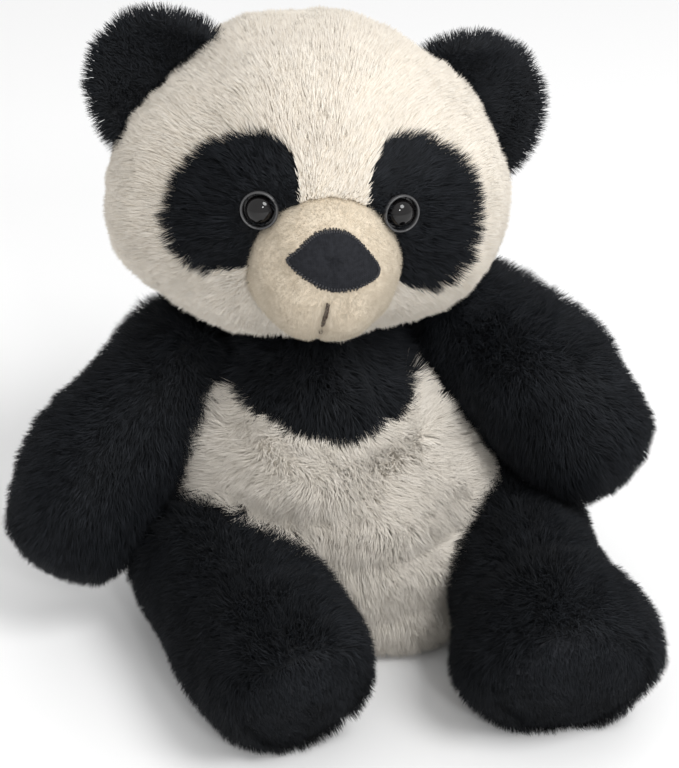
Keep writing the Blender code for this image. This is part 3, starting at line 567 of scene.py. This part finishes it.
def grow(name, body, pile, groups):
    """One piece of pile from groups of strands, each (points, faces, tones, normals)."""
    points, corners, lengths, slots, normals, start = [], [], [], [], [], 0
    for strands, faces, tones, ways in groups:
        count, each = strands.shape[:2]
        base = start + each * np.arange(count)[:, None]
        corners.append((base + np.concatenate(faces)[None, :]).ravel())
        lengths.append(np.tile([len(face) for face in faces], count))
        slots.append(tones.ravel())
        points.append(strands.reshape(-1, 3))
        normals.append(ways.reshape(-1, 3))
        start += each * count
    points = np.concatenate(points)
    points[:, 2] = np.maximum(points[:, 2], FLOOR_GAP)
    corners, lengths = np.concatenate(corners), np.concatenate(lengths)
    made = mesh_object(name, points, corners, lengths, pile.tones, np.concatenate(slots))
    shading = made.data.attributes.new("custom_normal", "FLOAT_VECTOR", "POINT")
    shading.data.foreach_set("vector", np.concatenate(normals).astype(np.float32).ravel())
    return finish_piece(made, body)


CLUMP_SIZE = 20
STRAND_ROUNDNESS = 0.18     # how much of a strand's own roundness shows in its shading
UNDER_SHARE = 0.93          # the undercoat's length against the long strands'
SEAM_CLOSE = 0.9 * MM       # how far strands stray over a seam
ROOT_DEPTH = 0.4 * MM       # how far a strand starts under the cloth's face
FLOOR_GAP = 0.4 * MM
MOST_TRIANGLES = 195000     # in one piece of pile
LONG_TRIANGLES, SHORT_TRIANGLES = 10, 4


def solid_tree(name):
    points, triangles = node_mesh(name)
    return BVHTree.FromPolygons([Vector(point) for point in points], triangles.tolist())


def inside_solid(name, points):
    """True where a point is within a closed CAD solid, found by counting the faces above it."""
    low, high = (np.array(corner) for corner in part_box(name))
    near = np.all((points > low) & (points < high), axis=1)
    way = Vector((0.13, 0.21, 0.97)).normalized()
    for index in np.flatnonzero(near):
        place, crossings = Vector(points[index]), 0
        while place is not None:
            place = SOLIDS[name].ray_cast(place, way)[0]
            if place is not None:
                crossings += 1
                place += way * 0.01 * MM
        near[index] = crossings % 2 == 1
    return near


def roots_on(cover, name, each, comb, share, buried_in, chance):
    """Roots on a panel that aren't buried in another solid, with their normals, comb and length share."""
    roots, normals = cover.scatter(name, each * STRAND_SHARE, chance)
    length_share = np.ones(len(roots)) if share is None else share(roots)
    kept = length_share > 0.02
    strays = across_surface(chance.normal(size=roots.shape), normals)
    roots = roots + strays * chance.random((len(roots), 1)) * SEAM_CLOSE
    for solid in buried_in:
        kept &= ~inside_solid(solid, roots + normals * 3 * MM)
    roots, normals, length_share = roots[kept], normals[kept], length_share[kept]
    return roots, normals, across_surface(comb(roots, normals), normals), length_share


def plush_panel(cover, name, pile, comb, share=None, buried_in=()):
    """A panel's cloth, and its pile in as many pieces as its strands need."""
    points, triangles, _, _ = cover.panels[name]
    cloth = new_piece(name + "_cloth", points, triangles, [pile.backing])
    finish_piece(cloth, cover.body, [name])
    chance = np.random.default_rng(sum(map(ord, name)))
    long_roots = roots_on(cover, name, pile.each, comb, share, buried_in, chance)
    short_roots = roots_on(cover, name, pile.under, comb, share, buried_in, chance)
    triangle_count = len(long_roots[0]) * LONG_TRIANGLES + len(short_roots[0]) * SHORT_TRIANGLES
    parts = -(-triangle_count // MOST_TRIANGLES)
    for part in range(parts):
        label = f"{name}_pile_{part + 1}" if parts > 1 else f"{name}_pile"
        groups = [make(pile, *(values[part::parts] for values in roots), chance)
                  for make, roots in ((long_strands, long_roots), (short_strands, short_roots))]
        grow(label, cover.body, pile, groups)


def beyond_line(start, end):
    """Unit vectors that point straight away from the line between two points."""
    def away(points):
        along = end - start
        share = np.clip((points - start) @ along / (along @ along), 0, 1)
        return unit(points - start - share[:, None] * along)
    return away


SOLIDS = {name: solid_tree(name) for name in ("torso_filling", "head_filling", "left_arm_filling",
                                              "right_arm_filling", "left_leg_filling", "right_leg_filling")}


# Head

EYE_BARE = 5 * MM           # how near an eye's middle no strand grows


def head_comb(roots, normals):
    """Away from the muzzle on the face, and back and down behind it."""
    face = smooth_step((roots - HEAD_CENTRE) @ MUZZLE_OUT, -10 * MM, 25 * MM)[:, None]
    return unit(roots - MUZZLE_CENTRE) * face + (DOWN - 0.8 * MUZZLE_OUT) * (1.0 - face)


def head_share(roots):
    """Shorter round the eyes and beside the muzzle, none under the eyes, and over the rims' inner sides."""
    share, lashes = np.ones(len(roots)), np.zeros(len(roots))
    for eye in EYES.values():
        away = np.linalg.norm(roots - eye, axis=1)
        share *= np.where(away < EYE_BARE, 0, 0.42 + 0.58 * smooth_step(away, 6 * MM, 13 * MM))
        inward = smooth_step((eye - roots) @ unit(eye - MUZZLE_CENTRE), 1 * MM, 4 * MM)
        over_rim = (away > EYE_BARE) * inward * (1 - smooth_step(away, 8 * MM, 11 * MM))
        lashes = np.maximum(lashes, over_rim)
    from_muzzle = np.linalg.norm(roots - MUZZLE_CENTRE, axis=1)
    return np.maximum(share * (0.6 + 0.4 * smooth_step(from_muzzle, 24 * MM, 34 * MM)), 0.75 * lashes)


def build_head():
    names = ["head_side_left", "head_side_right", "head_gusset", "eye_patch_left", "eye_patch_right"]
    cover = Cover("head", names, beyond_line(HEAD_CENTRE, HEAD_CENTRE + HEAD_LEFT * 0.1 * MM))
    for name in names:
        pile = BLACK_PATCH if "patch" in name else CREAM_HEAD
        plush_panel(cover, name, pile, head_comb, head_share, ["torso_filling"])


# Torso

TORSO_MIDDLE = middle("torso_filling")


def torso_comb(roots, normals):
    outward = roots - TORSO_MIDDLE
    outward[:, 2] = 0
    return DOWN * 0.9 + unit(outward) * 0.3


def torso_share(roots):
    """Longer at the shoulders and the neck."""
    return 1 + 0.5 * smooth_step(roots[:, 2], 78 * MM, 92 * MM)


def belly_comb(roots, normals):
    """Outward near the edge of the belly and down on it, in loose tufts."""
    away = roots - middle("belly_panel")
    edge = smooth_step(np.linalg.norm(away, axis=1), 26 * MM, 50 * MM)[:, None]
    return unit(away) * edge + DOWN * (1.0 - 0.6 * edge) + ripple(roots, 19 * MM, 9) * 0.55


def build_torso():
    names = ["chest_panel", "belly_panel", "back_panel_left", "back_panel_right", "seat_panel"]
    start = TORSO_MIDDLE * np.array((1, 1, 0.5))
    cover = Cover("torso", names, beyond_line(start, pivot_of("neck")))
    limbs = [name for name in SOLIDS if "torso" not in name]
    for name in names:
        pile = {"belly_panel": CREAM_BELLY, "seat_panel": SHORT_SEAT}.get(name, BLACK_BODY)
        plush_panel(cover, name, pile, belly_comb if "belly" in name else torso_comb, torso_share, limbs)


# Limbs

def shoulder_share(roots):
    """Longer where an arm meets the head."""
    return 1 + 0.55 * smooth_step(roots[:, 2], 86 * MM, 100 * MM)


def build_limb(side, limb, joint, panels):
    body = f"{side}_{limb}"
    pivot = np.array(JOINTS[joint]["pos_m"])
    filling = node_mesh(body + "_filling")[0]
    way = unit(filling.mean(axis=0) - pivot)
    reach = ((filling - pivot) @ way).max()
    thick = np.linalg.norm(filling - pivot - ((filling - pivot) @ way)[:, None] * way, axis=1).max()
    tip = pivot + way * (reach - thick)
    cover = Cover(body, panels, beyond_line(pivot, tip))

    def comb(roots, normals):
        return way + DOWN * 0.5

    for name in panels:
        pile = SHORT_SOLE if "sole" in name else BLACK_BODY
        plush_panel(cover, name, pile, comb, shoulder_share, ["torso_filling", "head_filling"])


def build_limbs():
    for side in ("left", "right"):
        build_limb(side, "arm", side + "_shoulder_raise", [f"{side}_arm_front", f"{side}_arm_back"])
        build_limb(side, "leg", side + "_hip_splay",
                   [f"{side}_leg_inner", f"{side}_leg_outer", f"{side}_foot_sole"])


build_head()
build_torso()
build_limbs()


# Ears

def build_ear(side):
    body = side + "_ear"
    joint = JOINTS[side + "_ear_fold"]
    pivot, across = np.array(joint["pos_m"]), unit(joint["axis"])
    front = middle(body + "_front") - middle(body + "_back")
    front = unit(front - across * (front @ across))
    rise = unit(np.cross(across, -front))
    if (middle(body + "_front") - pivot) @ rise < 0:
        rise = -rise
    for name, way in ((body + "_front", front), (body + "_back", -front)):
        cover = Cover(body, [name], lambda points, way=way: np.tile(way, (len(points), 1)), -0.5)

        def comb(roots, normals):
            return unit(roots - pivot + rise * 4 * MM)

        plush_panel(cover, name, BLACK_EAR, comb, None, ["head_filling"])


for ear_side in ("left", "right"):
    build_ear(ear_side)


# The muzzle: a short-pile egg, with a nose patch, its edge stitches and a stitched mouth

MUZZLE_RADIUS = 24 * MM     # one radian of its surface from the front, on the flat pattern
MUZZLE_WALL = 3.6 * MM      # from the filling out to the cover's face
MUZZLE_CLOTH = 1.6 * MM
MUZZLE_RIM = 1.5            # polar angle of its edge
NOSE_OUTLINE = [(-15.4, -3), (-12.6, 0.4), (-9.6, 3.8), (-6.2, 6.6), (-2, 7.7), (2.6, 7.6), (6.8, 6),
                (10.4, 3), (13.6, -0.8), (15.8, -4.6), (14.6, -7), (10, -8.2), (4, -9), (-1, -8.9),
                (-6, -7.4), (-11, -5.4)]
NOSE_HEIGHT, NOSE_EDGE = 1.9 * MM, 0.5 * MM
NOSE_STITCHES, NOSE_TEETH = 84, 0.45 * MM
MOUTH = [[(-1.2, 2.6), (-1.5, -2.6), (-1.8, -8)], [(-1.9, -10.2), (-1.9, -12), (-1.9, -14)]]


def muzzle_axes():
    filling = node_mesh("muzzle_filling")[0] - MUZZLE_CENTRE
    return [np.abs(filling @ way).max() + MUZZLE_WALL for way in (HEAD_LEFT, MUZZLE_UP, MUZZLE_OUT)]


MUZZLE_HALF = muzzle_axes()


def muzzle_surface(x, y, lift=0.0):
    """Points over the muzzle at pattern places left and up of its front, raised by 'lift'."""
    x, y = np.asarray(x, float), np.asarray(y, float)
    polar = np.hypot(x, y) / MUZZLE_RADIUS
    spread = np.sinc(polar / pi) / MUZZLE_RADIUS
    parts = np.stack((x * spread, y * spread, np.cos(polar)), axis=-1)
    ways = np.stack((HEAD_LEFT, MUZZLE_UP, MUZZLE_OUT))
    normals = unit((parts / MUZZLE_HALF) @ ways)
    return MUZZLE_CENTRE + (parts * MUZZLE_HALF) @ ways + normals * np.asarray(lift)[..., None], normals


def muzzle_relief(x, y):
    """How the stuffed muzzle swells beside the mouth and is drawn in along it."""
    below = 1 - smooth_step(y, -4 * MM, 8 * MM)
    dart = -1.5 * MM * np.exp(-((x + 2 * MM) / (1.5 * MM)) ** 2) * below
    puffs = 1.1 * MM * np.exp(-((np.abs(x + 1.5 * MM) - 9 * MM) / (6 * MM)) ** 2)
    puffs *= np.exp(-((y + 8 * MM) / (10 * MM)) ** 2)
    brow = 0.7 * MM * np.exp(-((y - 28 * MM) / (5 * MM)) ** 2)
    places = np.stack((x, y, x * 0), axis=-1)
    return dart + puffs + brow + 0.3 * MM * ripple(places.reshape(-1, 3), 13 * MM, 8)[:, 0].reshape(x.shape)


def nose_place():
    """Pattern place of the nose's middle."""
    away = middle("nose_patch") - MUZZLE_CENTRE
    return MUZZLE_RADIUS * np.arctan2(away @ MUZZLE_UP / MUZZLE_HALF[1], away @ MUZZLE_OUT / MUZZLE_HALF[2])


NOSE_Y = nose_place()


def ring_faces(rings, around, closed_end=False):
    """Quads between rings of points, each 'around' long; a last single point closes the end."""
    faces = []
    for ring in range(rings - 1):
        for index in range(around):
            after = (index + 1) % around
            faces.append((ring * around + index, ring * around + after,
                          (ring + 1) * around + after, (ring + 1) * around + index))
    if closed_end:
        last = (rings - 1) * around
        faces += [(last + index, last + (index + 1) % around, rings * around) for index in range(around)]
    return faces


def shell_between(top, base, around):
    """Points and faces of a closed shell from two sheets of rings, both from the rim to a middle point."""
    rings = (len(top) - 1) // around
    sheet = ring_faces(rings, around, True)
    count = len(top)
    faces = sheet + [tuple(index + count for index in reversed(face)) for face in sheet]
    for index in range(around):
        after = (index + 1) % around
        faces.append((index, index + count, after + count, after))
    return np.concatenate((top, base)), faces


def outward_faces(points, faces, inside):
    """Turns all faces over when they look towards a point inside."""
    centres = np.array([points[list(face)].mean(axis=0) for face in faces[:40]])
    across = np.array([np.cross(points[face[1]] - points[face[0]], points[face[2]] - points[face[0]])
                       for face in faces[:40]])
    if np.sum((centres - inside) * across) < 0:
        faces = [tuple(reversed(face)) for face in faces]
    return faces


def triangles_of(faces):
    return np.array([(face[0], face[index], face[index + 1])
                     for face in faces for index in range(1, len(face) - 1)])


def build_muzzle():
    around, rings = 96, 40
    turns = np.arange(around) * 2 * pi / around
    lengths = MUZZLE_RIM * MUZZLE_RADIUS * (1 - np.arange(rings) / rings)
    x = np.append((lengths[:, None] * np.sin(turns)).ravel(), 0)
    y = np.append((lengths[:, None] * np.cos(turns)).ravel(), 0)
    relief = muzzle_relief(x, y)
    top, _ = muzzle_surface(x, y, relief)
    base, _ = muzzle_surface(x, y, relief - MUZZLE_CLOTH)
    points, faces = shell_between(top, base, around)
    faces = outward_faces(points, faces, MUZZLE_CENTRE)
    cover = new_piece("muzzle_velour_cover", points, faces, [MUZZLE_VELOUR])
    finish_piece(cover, "head", ["muzzle_cover"])

    chance = np.random.default_rng(41)
    outer = triangles_of(outward_faces(points, ring_faces(rings, around, True), MUZZLE_CENTRE))
    normals = unit(point_normals(top, outer))
    roots, ways = scatter(top, outer, normals, MUZZLE_NAP.under * STRAND_SHARE, chance)
    from_nose = np.linalg.norm(roots - muzzle_surface(0.0, NOSE_Y)[0], axis=1)
    clear = from_nose > 7.5 * MM
    roots, ways = roots[clear], ways[clear]
    comb = across_surface(unit(roots - muzzle_surface(0.0, NOSE_Y)[0]) + DOWN * 0.3, ways)
    nap = short_strands(MUZZLE_NAP, roots, ways, comb, np.ones(len(roots)), chance)
    grow("muzzle_nap", "head", MUZZLE_NAP, [nap])


def between(before, a, b, after, u):
    """A place on the smooth curve from a to b."""
    return 0.5 * (2 * a + (b - before) * u + (2 * before - 5 * a + 4 * b - after) * u ** 2
                  + (3 * a - before - 3 * b + after) * u ** 3)


def closed_curve(corners, count):
    """A smooth closed curve through the corners."""
    corners = np.array(corners, float)
    curve = []
    for step in range(count):
        place = step / count * len(corners)
        near = [corners[(int(place) + shift) % len(corners)] for shift in (-1, 0, 1, 2)]
        curve.append(between(*near, place % 1))
    return np.array(curve)


def build_nose():
    around, rings = 168, 16
    chance = np.random.default_rng(5)
    edge = closed_curve(NOSE_OUTLINE, around) * MM
    out = unit(edge)
    ragged = edge + out * (chance.normal(size=(around, 1)) * 0.18 * MM)
    shares = 1 - (np.arange(rings) / rings) ** 1.3
    sheets = [ragged * share + (edge - ragged) * (1 - share) for share in shares]
    flat = np.concatenate(sheets + [np.zeros((1, 2))])
    share = np.append(np.repeat(shares, around), 0)
    dome = NOSE_EDGE + (NOSE_HEIGHT - NOSE_EDGE) * (1 - share ** 3) ** 0.6
    pucker_x, pucker_y = flat[:, 0] + 1.3 * MM, flat[:, 1] + 2.2 * MM
    reach = np.hypot(pucker_x, pucker_y)
    pucker = -0.9 * MM * np.exp(-(reach / (1.7 * MM)) ** 2)
    rays = 0.22 * MM * np.cos(7 * np.arctan2(pucker_y, pucker_x))
    pucker += rays * np.exp(-((reach - 3 * MM) / (2.2 * MM)) ** 2)
    weave = 0.08 * MM * ripple(np.column_stack((flat, share * 0)), 4 * MM, 12)[:, 0]
    x, y = flat[:, 0], flat[:, 1] + NOSE_Y
    relief = muzzle_relief(x, y)
    top, _ = muzzle_surface(x, y, relief + dome + (pucker + weave) * (1 - share ** 4))
    base, _ = muzzle_surface(x, y, relief + 0.05 * MM)
    points, faces = shell_between(top, base, around)
    nose = new_piece("nose_twill_patch", points, outward_faces(points, faces, MUZZLE_CENTRE), [NOSE_TWILL])
    finish_piece(nose, "head", ["nose_patch"])

    stitches = []
    edge = closed_curve(NOSE_OUTLINE, NOSE_STITCHES) * MM
    for place, way in zip(edge, unit(edge)):
        slant = np.array((-way[1], way[0])) * chance.normal() * 0.25
        start = place - way * 1.1 * MM
        end = place + (way + slant) * (0.35 * MM + NOSE_TEETH * chance.random())
        path = np.array([start + (end - start) * step / 3 for step in range(4)])
        lift = np.array((NOSE_HEIGHT * 0.55, NOSE_HEIGHT * 0.62, NOSE_EDGE * 0.9, -0.1 * MM))
        x, y = path[:, 0], path[:, 1] + NOSE_Y
        stitches.append(tube(*muzzle_surface(x, y, muzzle_relief(x, y) + lift), 0.3 * MM, 8))
    thread = joined("nose_edge_stitches", stitches, [BLACK_THREAD])
    finish_piece(thread, "head", ["nose_edge_stitching"])


def path_frames(path, normals):
    """The way along a path at each point, and the ways to its side and up from the surface."""
    ways = unit(np.gradient(path, axis=0))
    sides = unit(np.cross(ways, normals))
    return ways, sides, np.cross(sides, ways)


def tube(path, normals, radius, around, flat=0.75):
    """Points and faces of a rounded, slightly flattened thread along a path."""
    ways, sides, ups = path_frames(path, normals)
    points = [path[0] - ways[0] * radius * 0.6]
    for place, side, up in zip(path, sides, ups):
        for step in range(around):
            turn = 2 * pi * step / around
            points.append(place + side * cos(turn) * radius + up * sin(turn) * radius * flat)
    points.append(path[-1] + ways[-1] * radius * 0.6)
    faces = [(0, 1 + (step + 1) % around, 1 + step) for step in range(around)]
    for ring in range(len(path) - 1):
        first = 1 + ring * around
        faces += [(first + step, first + (step + 1) % around, first + around + (step + 1) % around,
                   first + around + step) for step in range(around)]
    last = 1 + (len(path) - 1) * around
    faces += [(last + step, last + (step + 1) % around, last + around) for step in range(around)]
    return np.array(points), faces


def joined(name, parts, materials):
    """One piece from several closed parts."""
    points, faces, start = [], [], 0
    for part_points, part_faces in parts:
        points.append(part_points)
        faces += [tuple(index + start for index in face) for face in part_faces]
        start += len(part_points)
    return new_piece(name, np.concatenate(points), faces, materials)


def smooth_path(corners, steps=8):
    """A curve through a few corners, with ends kept."""
    corners = np.array(corners, float)
    padded = np.concatenate((2 * corners[:1] - corners[1:2], corners, 2 * corners[-1:] - corners[-2:-1]))
    path = []
    for before, a, b, after in zip(padded, padded[1:], padded[2:], padded[3:]):
        path += [between(before, a, b, after, step / steps) for step in range(steps)]
    return np.array(path + [corners[-1]])


def plied(path, normals, radius, plies=2, pitch=2.2 * MM):
    """Plies of thread wound round each other along a path."""
    _, sides, ups = path_frames(path, normals)
    length = np.concatenate(([0], np.cumsum(np.linalg.norm(np.diff(path, axis=0), axis=1))))
    parts = []
    for ply in range(plies):
        turn = (2 * pi * (length / pitch + ply / plies))[:, None]
        wound = path + (sides * np.cos(turn) + ups * np.sin(turn) * 0.6) * radius * 0.5
        parts.append(tube(wound, normals, radius * 0.62, 8, 0.9))
    return parts


def build_mouth():
    parts = []
    for stitch in MOUTH:
        path = smooth_path(np.array(stitch) * MM, 12)
        share = np.linspace(0, 1, len(path))
        arch = 0.45 * MM * np.sin(pi * share) ** 0.5 - 0.1 * MM
        places, normals = muzzle_surface(path[:, 0], path[:, 1], muzzle_relief(path[:, 0], path[:, 1]) + arch)
        parts += plied(places, normals, 0.72 * MM)
    finish_piece(joined("mouth_stitches", parts, [BROWN_THREAD]), "head", ["mouth_stitch"])


# Eyes: a dark glossy dome, a black groove and a grey rim, whose grey is painted light: the light seen through
# the clear lens's edge

LENS_AROUND = 64
PUPIL_SHARE = 0.76          # the dome's radius against the whole eye's
RIM_WIDTH, RIM_HEIGHT = 0.62 * MM, 1.9 * MM


def turned_shell(frame, outer, inner, around=LENS_AROUND):
    """Closed solid turned about an axis from an outer and an inner (radius, height) line, rim to pole."""
    place, side, up, out = frame
    turns = np.arange(around) * 2 * pi / around

    def sheet(line):
        rings = [place + radius * (np.outer(np.cos(turns), side) + np.outer(np.sin(turns), up)) + height * out
                 for radius, height in line[:-1]]
        return np.concatenate(rings + [(place + line[-1][1] * out)[None]])

    points, faces = shell_between(sheet(outer), sheet(inner), around)
    return points, outward_faces(points, faces, place - out * 0.02 * MM)


def dome_line(radius, height, steps, base=0.0):
    """(radius, height) from a rim up to a pole."""
    return [(radius * cos(pi / 2 * step / steps), base + height * sin(pi / 2 * step / steps))
            for step in range(steps)] + [(0.0, base + height)]


def build_eye(side):
    name = side + "_eye_lens"
    points = node_mesh(name)[0]
    post = node_mesh(side + "_eye_post")[0]
    out = unit(points.mean(axis=0) - post.mean(axis=0))
    axis_place = points.mean(axis=0)
    heights = (points - axis_place) @ out
    place = axis_place + out * heights.min()
    radius = np.linalg.norm(points - axis_place - heights[:, None] * out, axis=1).max()
    height = heights.max() - heights.min()
    across = unit(HEAD_LEFT - out * (HEAD_LEFT @ out))
    frame_of_eye = (place, across, np.cross(out, across), out)
    dome = dome_line(PUPIL_SHARE * radius, height - 0.2 * MM, 24, 0.15 * MM)
    lens = turned_shell(frame_of_eye, dome, [(spot, 0.1 * MM) for spot, _ in dome])
    finish_piece(new_piece(side + "_eye_dome", *lens, [EYE_DARK]), "head", [name])
    inner, outer = radius - RIM_WIDTH, radius
    stations = [(inner, 0.15 * MM), (outer, 0.15 * MM), (outer + 0.1 * MM, 1.2 * MM),
                (outer - 0.12 * MM, RIM_HEIGHT), (inner + 0.1 * MM, RIM_HEIGHT),
                (inner - 0.05 * MM, 1.4 * MM)]
    turns = np.arange(LENS_AROUND) * 2 * pi / LENS_AROUND
    around_ways = np.outer(np.cos(turns), frame_of_eye[1]) + np.outer(np.sin(turns), frame_of_eye[2])
    ring = np.concatenate([place + spot * around_ways + high * out for spot, high in stations])
    faces = ring_faces(len(stations), LENS_AROUND)
    last = (len(stations) - 1) * LENS_AROUND
    faces += [(last + step, last + (step + 1) % LENS_AROUND, (step + 1) % LENS_AROUND, step)
              for step in range(LENS_AROUND)]
    # The rim's grey material is painted light, standing in for the light through the clear lens's edge
    rim = new_piece(side + "_eye_rim", ring, [tuple(reversed(face)) for face in faces], [EYE_RIM_PAINTED_LIGHT])
    finish_piece(rim, "head")
    for node, material in ((side + "_eye_post", EYE_BLACK), (side + "_eye_washer", WASHER_WHITE)):
        NODES[node].data.materials.clear()
        NODES[node].data.materials.append(material)


# What is inside: wadding and the bag of pellets

def lumpy(name, material, body, size, depth, levels=1):
    """The stuffing of one part: its CAD form with an uneven, matted face that stays inside it."""
    points, triangles = node_mesh(name)
    for _ in range(levels):
        points, triangles = refined(points, triangles)
    normals = unit(point_normals(points, triangles))
    sunk = depth * (0.6 + 0.4 * ripple(points, size, 21)[:, 0]) + 0.15 * MM
    sunk = np.maximum(sunk, 0.05 * MM)
    piece = new_piece(name + "_wad", points - normals * sunk[:, None], triangles, [material])
    finish_piece(piece, body, [name])


def build_stuffing():
    lumpy("torso_filling", WADDING, "torso", 14 * MM, 0.9 * MM)
    lumpy("head_filling", WADDING, "head", 14 * MM, 0.9 * MM)
    lumpy("neck_filling", WADDING, "neck", 9 * MM, 0.5 * MM)
    lumpy("muzzle_filling", WADDING, "head", 9 * MM, 0.6 * MM)
    for side in ("left", "right"):
        for limb in ("arm", "leg"):
            body = f"{side}_{limb}"
            lumpy(body + "_filling", WADDING, body, 11 * MM, 0.7 * MM)
    lumpy("pellet_bag", PELLET_CALICO, "torso", 4 * MM, 0.5 * MM, 2)


def build_closing_seam():
    """Hand stitches that cross the back seam in a zigzag, drawn down into the pile."""
    low, high = (np.array(corner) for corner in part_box("closing_seam_stitches"))
    middle_x, swing = (low[0] + high[0]) / 2, (high[0] - low[0]) / 2 - 0.5 * MM
    cloth = BVHTree.FromPolygons(*cover_polygons(("back_panel_left", "back_panel_right")))
    corners = []
    for step in range(9):
        height = low[2] + (high[2] - low[2]) * step / 8
        corners.append((middle_x + swing * (1 if step % 2 else -1), height))
    path, ways = [], []
    for start, end in zip(corners, corners[1:]):
        for step in range(7):
            share = step / 7
            x = start[0] + (end[0] - start[0]) * share
            z = start[1] + (end[1] - start[1]) * share
            place, normal, _, _ = cloth.find_nearest(Vector((x, high[1], z)))
            path.append(np.array(place) + np.array(normal) * 0.35 * MM)
            ways.append(np.array(normal))
    parts = plied(np.array(path), np.array(ways), 0.5 * MM)
    finish_piece(joined("closing_stitches", parts, [BLACK_THREAD]), "torso",
                 ["closing_seam_stitches"])


def cover_polygons(names):
    points, faces, start = [], [], 0
    for name in names:
        mesh = bpy.data.objects[name + "_cloth"].data
        points += [vertex.co.copy() for vertex in mesh.vertices]
        faces += [[index + start for index in polygon.vertices] for polygon in mesh.polygons]
        start += len(mesh.vertices)
    return points, faces


build_muzzle()
build_nose()
build_mouth()
build_eye("left")
build_eye("right")
build_stuffing()
build_closing_seam()


# Floor, light and camera

FLOOR_SIZE = 4.0            # from its middle to each side
SKY_STRENGTH = 0.86


def build_stage():
    mesh = bmesh.new()
    bmesh.ops.create_grid(mesh, x_segments=1, y_segments=1, size=FLOOR_SIZE)
    data = bpy.data.meshes.new("floor")
    mesh.to_mesh(data)
    mesh.free()
    floor = bpy.data.objects.new("floor", data)
    bpy.context.collection.objects.link(floor)
    data.materials.append(new_material("floor_white", (0.9, 0.9, 0.9), 0.9, Specular_IOR_Level=0.1)[0])

    world = bpy.data.worlds.new("studio")
    bpy.context.scene.world = world
    world.use_nodes = True
    sky = world.node_tree.nodes["Background"]
    sky.inputs["Color"].default_value = (1.0, 1.0, 1.0, 1)
    sky.inputs["Strength"].default_value = SKY_STRENGTH


def area_light(name, place, aim, size, power):
    data = bpy.data.lights.new(name, "AREA")
    data.shape = "DISK"
    data.size = size
    data.energy = power
    light = bpy.data.objects.new(name, data)
    bpy.context.collection.objects.link(light)
    light.location = place
    light.rotation_euler = (Vector(aim) - Vector(place)).to_track_quat("-Z", "Y").to_euler()


def build_camera():
    """Looks down at the panda from its right front, as the picture was taken."""
    target = Vector((-6.0, 5.0, 80.0)) * MM
    azimuth, elevation, distance = radians(-15), radians(28), 0.62
    away = Vector((sin(azimuth) * cos(elevation), -cos(azimuth) * cos(elevation), sin(elevation)))
    data = bpy.data.cameras.new("camera")
    data.lens, data.sensor_width = 86.7, 36.0
    camera = bpy.data.objects.new("camera", data)
    bpy.context.collection.objects.link(camera)
    camera.location = target + away * distance
    camera.rotation_euler = (-away).to_track_quat("-Z", "Y").to_euler()
    bpy.context.scene.camera = camera
    bpy.context.scene.view_settings.view_transform = "Standard"


build_stage()
build_camera()
area_light("key", (0.4, -0.75, 1.15), (0, 0, 0.1), 0.6, 10)
area_light("window", (0.0, -1.1, 0.75), (0, 0, 0.14), 0.16, 2.4)
